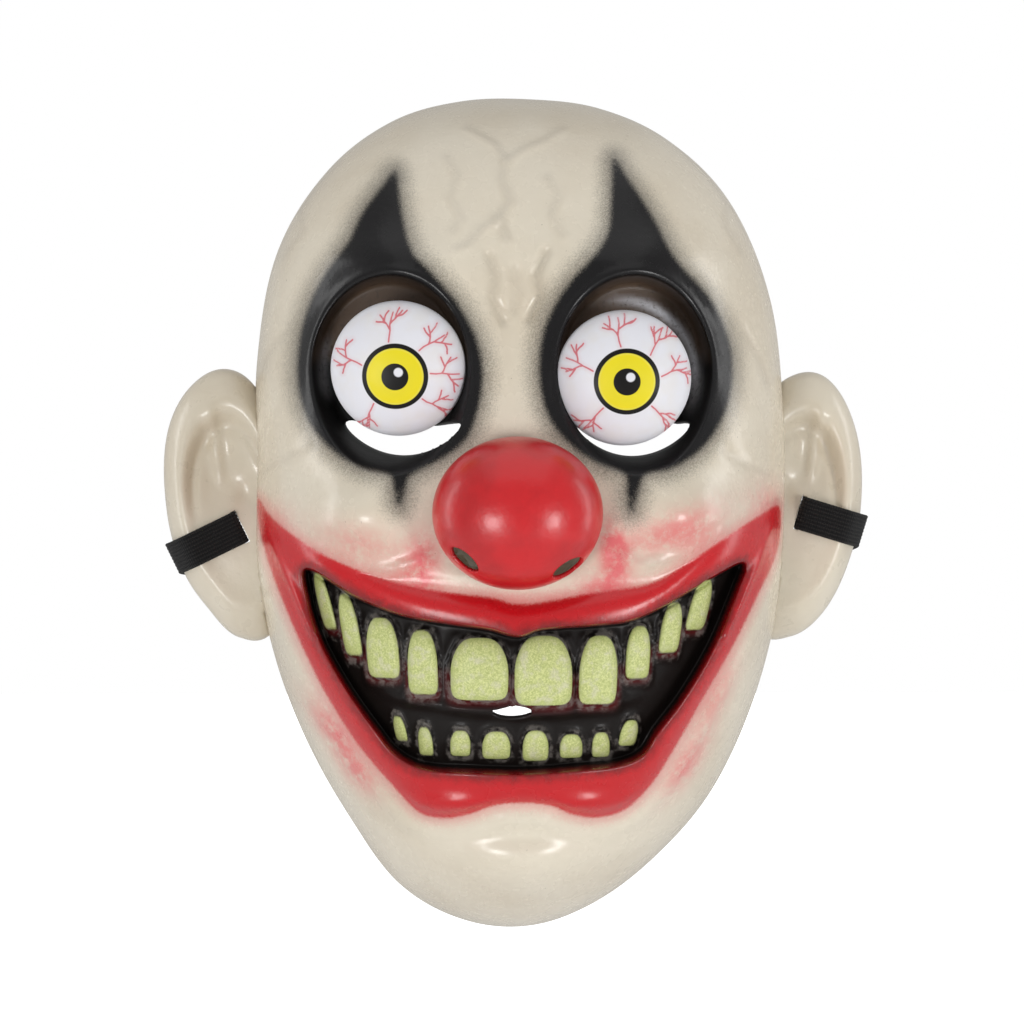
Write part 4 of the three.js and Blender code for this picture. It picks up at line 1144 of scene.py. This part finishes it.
class MASK_OT_nose(bpy.types.Operator):
    """Makes the hollow red nose ball with its two nostril slits"""

    bl_idname = "mask.nose"
    bl_label = "Nose"

    def execute(self, context):
        sizes, colours = context.scene.mask_sizes, context.scene.mask_colours
        form = FaceForm(sizes)
        x, y, z = nose_place(form)
        radii = Vector((sizes.nose_width, sizes.nose_length, sizes.nose_height)) / 2
        ball = bmesh.new()
        bmesh.ops.create_uvsphere(ball, u_segments=96, v_segments=64, radius=1)
        bmesh.ops.rotate(ball, verts=ball.verts, matrix=Matrix.Rotation(math.pi / 2, 3, "X"))
        behind = [vert for vert in ball.verts if vert.co.y > 0.62]
        bmesh.ops.delete(ball, geom=behind, context="VERTS")
        for vert in ball.verts:
            vert.co = Vector(a * b for a, b in zip(vert.co, radii))
        bmesh.ops.translate(ball, verts=ball.verts, vec=Vector((x, y, z)) * MM)
        for across, up, slant in NOSTRILS:
            self.cut(ball, x + across * radii.x / MM, z + up * radii.z / MM, slant, y)
        bmesh.ops.recalc_face_normals(ball, faces=ball.faces)
        middle = Vector((x, y, z)) * MM
        if sum((face.calc_center_median() - middle).dot(face.normal) for face in ball.faces) < 0:
            bmesh.ops.reverse_faces(ball, faces=ball.faces)
        mesh = to_mesh(ball, "mask_nose")
        co = np.array([vert.co for vert in mesh.vertices]) / MM
        face_depth, _ = form.bare(co[:, 0], co[:, 2])
        # 1 where the ball meets the face, for the painted shade there.
        store(mesh, "seat", ramp(3.0, 0.0, -co[:, 1] - face_depth))
        lining = plain_shell(colours, "nose_lining", colours.lining, colours.warm_tone_and_painted_shade)
        thing = piece("mask_nose", mesh, [nose_paint(colours), lining], "shell", "mask_shell")
        thicken(thing, sizes.wall)
        return {"FINISHED"}

    def cut(self, ball, x, z, slant, y):
        """Cuts one oval slit through the front of the ball."""
        c, s = math.cos(math.radians(slant)), math.sin(math.radians(slant))

        def share(co):
            a, b = co.x / MM - x, co.z / MM - z
            return math.hypot((a * c + b * s) / 5, (b * c - a * s) / 2)

        def near():
            return [
                face for face in ball.faces
                if face.calc_center_median().y < y * MM
                and any(share(vert.co) < 2.2 for vert in face.verts)]

        edges = {edge for face in near() for edge in face.edges}
        bmesh.ops.subdivide_edges(ball, edges=list(edges), cuts=3, use_grid_fill=True)
        gone = [face for face in near() if share(face.calc_center_median()) < 1]
        ring = {vert for face in gone for vert in face.verts}
        bmesh.ops.delete(ball, geom=gone, context="FACES")
        for vert in ring:
            if vert.is_valid and vert.is_boundary:
                off = share(vert.co)
                if off > 0.2:
                    vert.co.x = (x + (vert.co.x / MM - x) / off) * MM
                    vert.co.z = (z + (vert.co.z / MM - z) / off) * MM


def vein_lines(seed):
    """Branching printed veins round the iris, as lines of points in mm."""
    random = np.random.RandomState(seed)
    lines = []
    for start in (104, 52, 6, -40, 232, 166):
        turn = math.radians(start + random.uniform(-6, 6))
        lines += branch(random, 10.0, turn, 8.0, turn, 2)
    return lines


def branch(random, out, turn, length, way, forks):
    """One vein and its forks, from a place given by its distance out and its turn."""
    at = np.array((out * math.cos(turn), out * math.sin(turn)))
    points = [at]
    lines = []
    steps = 5
    for step in range(steps):
        way += random.uniform(-0.3, 0.3)
        at = at + length / steps * np.array((math.cos(way), math.sin(way)))
        points.append(at)
        if forks and step in (1, 2):
            bend = way + (1 if step == 1 else -1) * random.uniform(0.5, 0.85)
            lines += branch(
                random, math.hypot(*at), math.atan2(at[1], at[0]), length * 0.62, bend, forks - 1)
    return [points, *lines]


class MASK_OT_eyes(bpy.types.Operator):
    """Makes the two domed eyeballs with their print, and finishes their posts"""

    bl_idname = "mask.eyes"
    bl_label = "Eyes"

    EDGE = 2.5
    BULGE = 11
    FILLET = 0.7

    def execute(self, context):
        sizes, colours = context.scene.mask_sizes, context.scene.mask_colours
        form = FaceForm(sizes)
        print_finish = eye_paint(colours)
        for index, eye in enumerate(EYES):
            name, side, across, up, ball_across, ball_up, out, down, _, _, offset = eye
            mesh = to_mesh(self.dome(form.eye_radius), f"printed_eyeball_{name}")
            local = np.array([vert.co for vert in mesh.vertices])
            px, pz = local[:, 0] - offset[0], local[:, 2] - offset[1]
            behind = local[:, 1] > -self.EDGE
            store(mesh, "from_middle", np.where(behind, 30, np.hypot(px, pz)))
            store(mesh, "glint", np.hypot(px - 1.0, pz - 1.3))
            vein = np.min([line_distance(line, px, pz) for line in vein_lines(11 + index)], 0)
            store(mesh, "vein", np.where(behind, 9, vein))
            front, _ = form.bare(
                np.array([across * form.half_width]), np.array([up * form.half_height]))
            position = Vector((
                ball_across * form.half_width, 3 - front[0], ball_up * form.half_height))
            turned = (Matrix.Rotation(math.radians(side * out), 4, "Z")
                      @ Matrix.Rotation(math.radians(down), 4, "X"))
            mesh.transform(Matrix.Scale(MM, 4) @ Matrix.Translation(position) @ turned)
            piece(mesh.name, mesh, [print_finish], "eyeball", f"eyeball_{name}")
        post = plain_shell(colours, "post_plastic", colours.post, colours.warm_tone_and_painted_shade)
        for side in ("left", "right"):
            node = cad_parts[f"eye_post_{side}"]
            node.data.materials.clear()
            node.data.materials.append(post)
        return {"FINISHED"}

    def dome(self, radius):
        """One eyeball in mm, turned from its profile, that looks along -Y."""
        edge, fillet = self.EDGE, self.FILLET
        steps = 100
        profile = [(0, edge + self.BULGE)]
        for step in range(1, steps + 1):
            turn = math.pi / 2 * (1 - step / steps)
            profile.append((radius * math.cos(turn), edge + self.BULGE * math.sin(turn)))
        profile += [
            (radius, edge - 0.6), (radius, fillet), (radius - 0.3 * fillet, 0.3 * fillet),
            (radius - fillet, 0), (radius - 4, 0), (radius - 10, 0), (0, 0)]
        dome = bmesh.new()
        verts = [dome.verts.new((r, -h, 0)) for r, h in profile]
        edges = [dome.edges.new(pair) for pair in zip(verts, verts[1:])]
        bmesh.ops.spin(
            dome, geom=verts + edges, cent=(0, 0, 0), axis=(0, 1, 0), angle=2 * math.pi,
            steps=288, use_merge=True)
        bmesh.ops.remove_doubles(dome, verts=dome.verts, dist=1e-4)
        bmesh.ops.recalc_face_normals(dome, faces=dome.faces)
        return dome


def strap_over_ear(form, sizes, row):
    """The strap's way from its tab behind the ear out through the slot and over the
    ear's front, as (middle, direction of its width) pairs in mm."""
    ear = EarForm(form, sizes, row)
    _, side, _, _, _, fall_degrees, _ = row
    slot_x, slot_z = slot_place(form, row)
    fall = math.radians(fall_degrees)
    outwards = np.array((side * math.cos(fall), 0, -math.sin(fall)))
    width = np.array((side * math.sin(fall), 0, math.cos(fall)))
    edges = np.array((-0.5, -0.25, 0, 0.25, 0.5)) * sizes.strap_width / MM

    def stand(along):
        x = slot_x + along * outwards[0] + edges * width[0]
        z = slot_z + along * outwards[2] + edges * width[2]
        return ear.core(x, z)

    step, start = 0.75, 1.5
    section = []
    along = start
    while stand(along).max() > 0:
        section.append((along, ear.SETBACK + stand(along).max()))
        along += step
    section.append((along, ear.SETBACK))
    taut = []
    for point in section:
        while len(taut) > 1 and turns_up(taut[-2], taut[-1], point):
            taut.pop()
        taut.append(point)
    thick = sizes.strap_thickness / MM
    off = 0.3 + thick / 2
    front = []
    for i, (s, h) in enumerate(taut):
        ps, ph = taut[max(0, i - 1)]
        ns, nh = taut[min(len(taut) - 1, i + 1)]
        length = math.hypot(ns - ps, nh - ph)
        front.append((s + off * (ph - nh) / length, h + off * (ns - ps) / length))
    behind = min(stand(s).min() for s in np.arange(start, 8 + start + 0.01, step))
    tab = ear.SETBACK + behind - 1.5 * sizes.wall / MM - off
    high = front[0][1]
    back = [
        (start + 8, tab), (start + thick / 2, tab), (thick / 2, tab + 0.3 * thick),
        (0, tab + thick), (0, high - thick), (thick / 2, high - 0.3 * thick)]
    return [
        (np.array((slot_x + s * outwards[0], -h, slot_z + s * outwards[2])), width)
        for s, h in back + front]


def turns_up(a, b, c):
    """Whether the line from a by b to c bends up at b or runs straight on."""
    return (b[0] - a[0]) * (c[1] - a[1]) - (b[1] - a[1]) * (c[0] - a[0]) >= 0


def strap_way(form, sizes):
    """The whole strap: over the left ear, round the back and over the right ear."""
    left, right = (strap_over_ear(form, sizes, row) for row in SIDES)
    (start, start_width), (end, end_width) = left[-1], right[-1]
    steps = 120
    around = []
    for i in range(1, steps):
        part = i / steps
        turn = part * math.pi
        back = math.sin(turn)
        middle = (start[0] + end[0]) / 2 - (end[0] - start[0]) / 2 * math.cos(turn)
        near = start_width if part < 0.5 else end_width
        width = near + (np.array((0, 0, 1.0)) - near) * min(1, 1.5 * back)
        around.append((
            np.array((middle, start[1] + (STRAP_BACK - start[1]) * back,
                      start[2] + (end[2] - start[2]) * part - STRAP_SAG * back)),
            width / np.linalg.norm(width)))
    return left + around + right[::-1]


def even_way(stations, spacing):
    """The same way with evenly spaced stations."""
    points = np.array([point for point, _ in stations])
    widths = np.array([width for _, width in stations])
    run = run_along(points)
    at = np.linspace(0, run[-1], int(run[-1] / spacing) + 1)
    points = np.column_stack([np.interp(at, run, points[:, k]) for k in range(3)])
    widths = np.column_stack([np.interp(at, run, widths[:, k]) for k in range(3)])
    return at, points, widths / np.linalg.norm(widths, axis=1)[:, None]


class MASK_OT_strap(bpy.types.Operator):
    """Weaves the ribbed elastic strap along its way through both ears"""

    bl_idname = "mask.strap"
    bl_label = "Strap"

    CORDS = 9

    def execute(self, context):
        sizes, colours = context.scene.mask_sizes, context.scene.mask_colours
        form = FaceForm(sizes)
        run, points, widths = even_way(strap_way(form, sizes), 1.2)
        half, thick = sizes.strap_width / MM / 2, sizes.strap_thickness / MM / 2
        across = np.linspace(-half + 0.25, half - 0.25, 4 * self.CORDS + 1)
        ribs = 0.14 * np.abs(np.sin((across + half) / (2 * half) * math.pi * self.CORDS))
        upper = [(a, thick - 0.16 + r) for a, r in zip(across, ribs)]
        section = upper + [(half, 0)] + [(a, -h) for a, h in reversed(upper)] + [(-half, 0)]
        ribbon = bmesh.new()
        ways = np.gradient(points, axis=0)
        loop = []
        for point, width, ahead in zip(points, widths, ways):
            ahead = ahead / np.linalg.norm(ahead)
            out = np.cross(ahead, width)
            out /= np.linalg.norm(out)
            wide = np.cross(out, ahead)
            spots = [Vector(point + wide * a + out * h) * MM for a, h in section]
            if loop:
                loop = grow(ribbon, edges, loop, spots)
            else:
                loop = [ribbon.verts.new(spot) for spot in spots]
                ribbon.faces.new(loop)
            edges = [ribbon.edges.get(pair) for pair in zip(loop, loop[1:] + loop[:1])]
        ribbon.faces.new(loop[::-1])
        bmesh.ops.recalc_face_normals(ribbon, faces=ribbon.faces)
        mesh = to_mesh(ribbon, "elastic_strap_woven")
        count = len(section)
        store(mesh, "along", np.repeat(run, count))
        store(mesh, "across", np.tile([a for a, _ in section], len(run)))
        piece(mesh.name, mesh, [strap_paint(colours)], "strap", "elastic_strap")
        return {"FINISHED"}


def aim(thing, azimuth, elevation, distance):
    """Places a lamp or camera round the mask, by degrees and metres, and faces it there."""
    a, e = math.radians(azimuth), math.radians(elevation)
    way = Vector((math.sin(a) * math.cos(e), -math.cos(a) * math.cos(e), math.sin(e)))
    thing.location = way * distance
    thing.rotation_euler = (-way).to_track_quat("-Z", "Y").to_euler()


class MASK_OT_stage(bpy.types.Operator):
    """Sets the floor, the soft lights and the camera"""

    bl_idname = "mask.stage"
    bl_label = "Stage"

    FILL = 0.46
    WHITE = 1.0
    FIELD_DEGREES = 12.57
    # Azimuth, elevation, distance, width, height and watts of each soft light.
    SOFTBOXES = {
        "softbox_left": (-29, -13, 1.5, 0.4, 0.55, 9),
        "softbox_right": (42, -9, 1.5, 0.3, 0.42, 6.5),
        "softbox_top": (0, 80, 1.8, 2.2, 2.2, 8),
        "softbox_side_left": (-98, 8, 1.3, 0.22, 1.2, 3),
        "softbox_side_right": (98, 8, 1.3, 0.22, 1.2, 3),
    }

    def execute(self, context):
        scene = context.scene
        scene.view_settings.view_transform = "Standard"
        self.floor()
        for name, row in self.SOFTBOXES.items():
            self.softbox(name, *row)
        world = bpy.data.worlds.new("studio")
        world.use_nodes = True
        background = world.node_tree.nodes["Background"]
        background.inputs["Color"].default_value = (1, 1, 1, 1)
        seen = world.node_tree.nodes.new("ShaderNodeLightPath").outputs["Is Camera Ray"]
        strength = world.node_tree.nodes.new("ShaderNodeMapRange")
        strength.inputs["To Min"].default_value = self.FILL
        strength.inputs["To Max"].default_value = self.WHITE
        world.node_tree.links.new(seen, strength.inputs["Value"])
        world.node_tree.links.new(strength.outputs["Result"], background.inputs["Strength"])
        scene.world = world
        data = bpy.data.cameras.new("camera")
        data.sensor_width = 36
        data.lens = 18 / math.tan(math.radians(self.FIELD_DEGREES / 2))
        data.clip_start, data.clip_end = 0.05, 20
        camera = bpy.data.objects.new("camera", data)
        scene.collection.objects.link(camera)
        aim(camera, -1.3, 2, 1.4)
        scene.camera = camera
        return {"FINISHED"}

    def floor(self):
        """A wide pale floor, so bright that it looks plain white."""
        sheet = bmesh.new()
        bmesh.ops.create_grid(sheet, x_segments=8, y_segments=8, size=6)
        bmesh.ops.translate(sheet, verts=sheet.verts, vec=(0, 0, -0.5))
        mesh = to_mesh(sheet, "floor")
        paint = Paint("pale_floor")
        paint.finish((0.85, 0.85, 0.85, 1), 0.8)
        seen = paint.tree.nodes.new("ShaderNodeLightPath").outputs["Is Camera Ray"]
        paint.shader.inputs["Emission Color"].default_value = (1, 1, 1, 1)
        glow = paint.times(seen, self.WHITE)
        paint.feed(paint.shader.inputs["Emission Strength"], glow)
        mesh.materials.append(paint.material)
        thing = bpy.data.objects.new("floor", mesh)
        bpy.context.scene.collection.objects.link(thing)

    def softbox(self, name, azimuth, elevation, distance, wide, tall, power):
        """A rectangular soft light that faces the mask."""
        data = bpy.data.lights.new(name, "AREA")
        data.shape = "RECTANGLE"
        data.size, data.size_y = wide, tall
        data.energy = power
        lamp = bpy.data.objects.new(name, data)
        bpy.context.scene.collection.objects.link(lamp)
        aim(lamp, azimuth, elevation, distance)


OPERATORS = (
    MASK_OT_face, MASK_OT_nose, MASK_OT_ears, MASK_OT_eyes, MASK_OT_strap, MASK_OT_stage)


class MASK_PT_panel(bpy.types.Panel):
    """Lists the mask's sizes, colours and pieces"""

    bl_idname = "MASK_PT_panel"
    bl_label = "Clown mask"
    bl_space_type = "VIEW_3D"
    bl_region_type = "UI"
    bl_category = "Clown mask"

    def draw(self, context):
        for group in (context.scene.mask_sizes, context.scene.mask_colours):
            box = self.layout.box()
            for name in group.__annotations__:
                box.prop(group, name)
        for operator in OPERATORS:
            self.layout.operator(operator.bl_idname)


CLASSES = (MaskSizes, MaskColours, *OPERATORS, MASK_PT_panel)


def register():
    for kind in CLASSES:
        bpy.utils.register_class(kind)
    bpy.types.Scene.mask_sizes = bpy.props.PointerProperty(type=MaskSizes)
    bpy.types.Scene.mask_colours = bpy.props.PointerProperty(type=MaskColours)


def unregister():
    del bpy.types.Scene.mask_colours
    del bpy.types.Scene.mask_sizes
    for kind in reversed(CLASSES):
        bpy.utils.unregister_class(kind)


def main():
    register()
    bpy.ops.mask.stage()
    bpy.ops.mask.face()
    bpy.ops.mask.nose()
    bpy.ops.mask.ears()
    bpy.ops.mask.eyes()
    bpy.ops.mask.strap()
    bpy.context.view_layer.update()


if __name__ == "__main__":
    main()
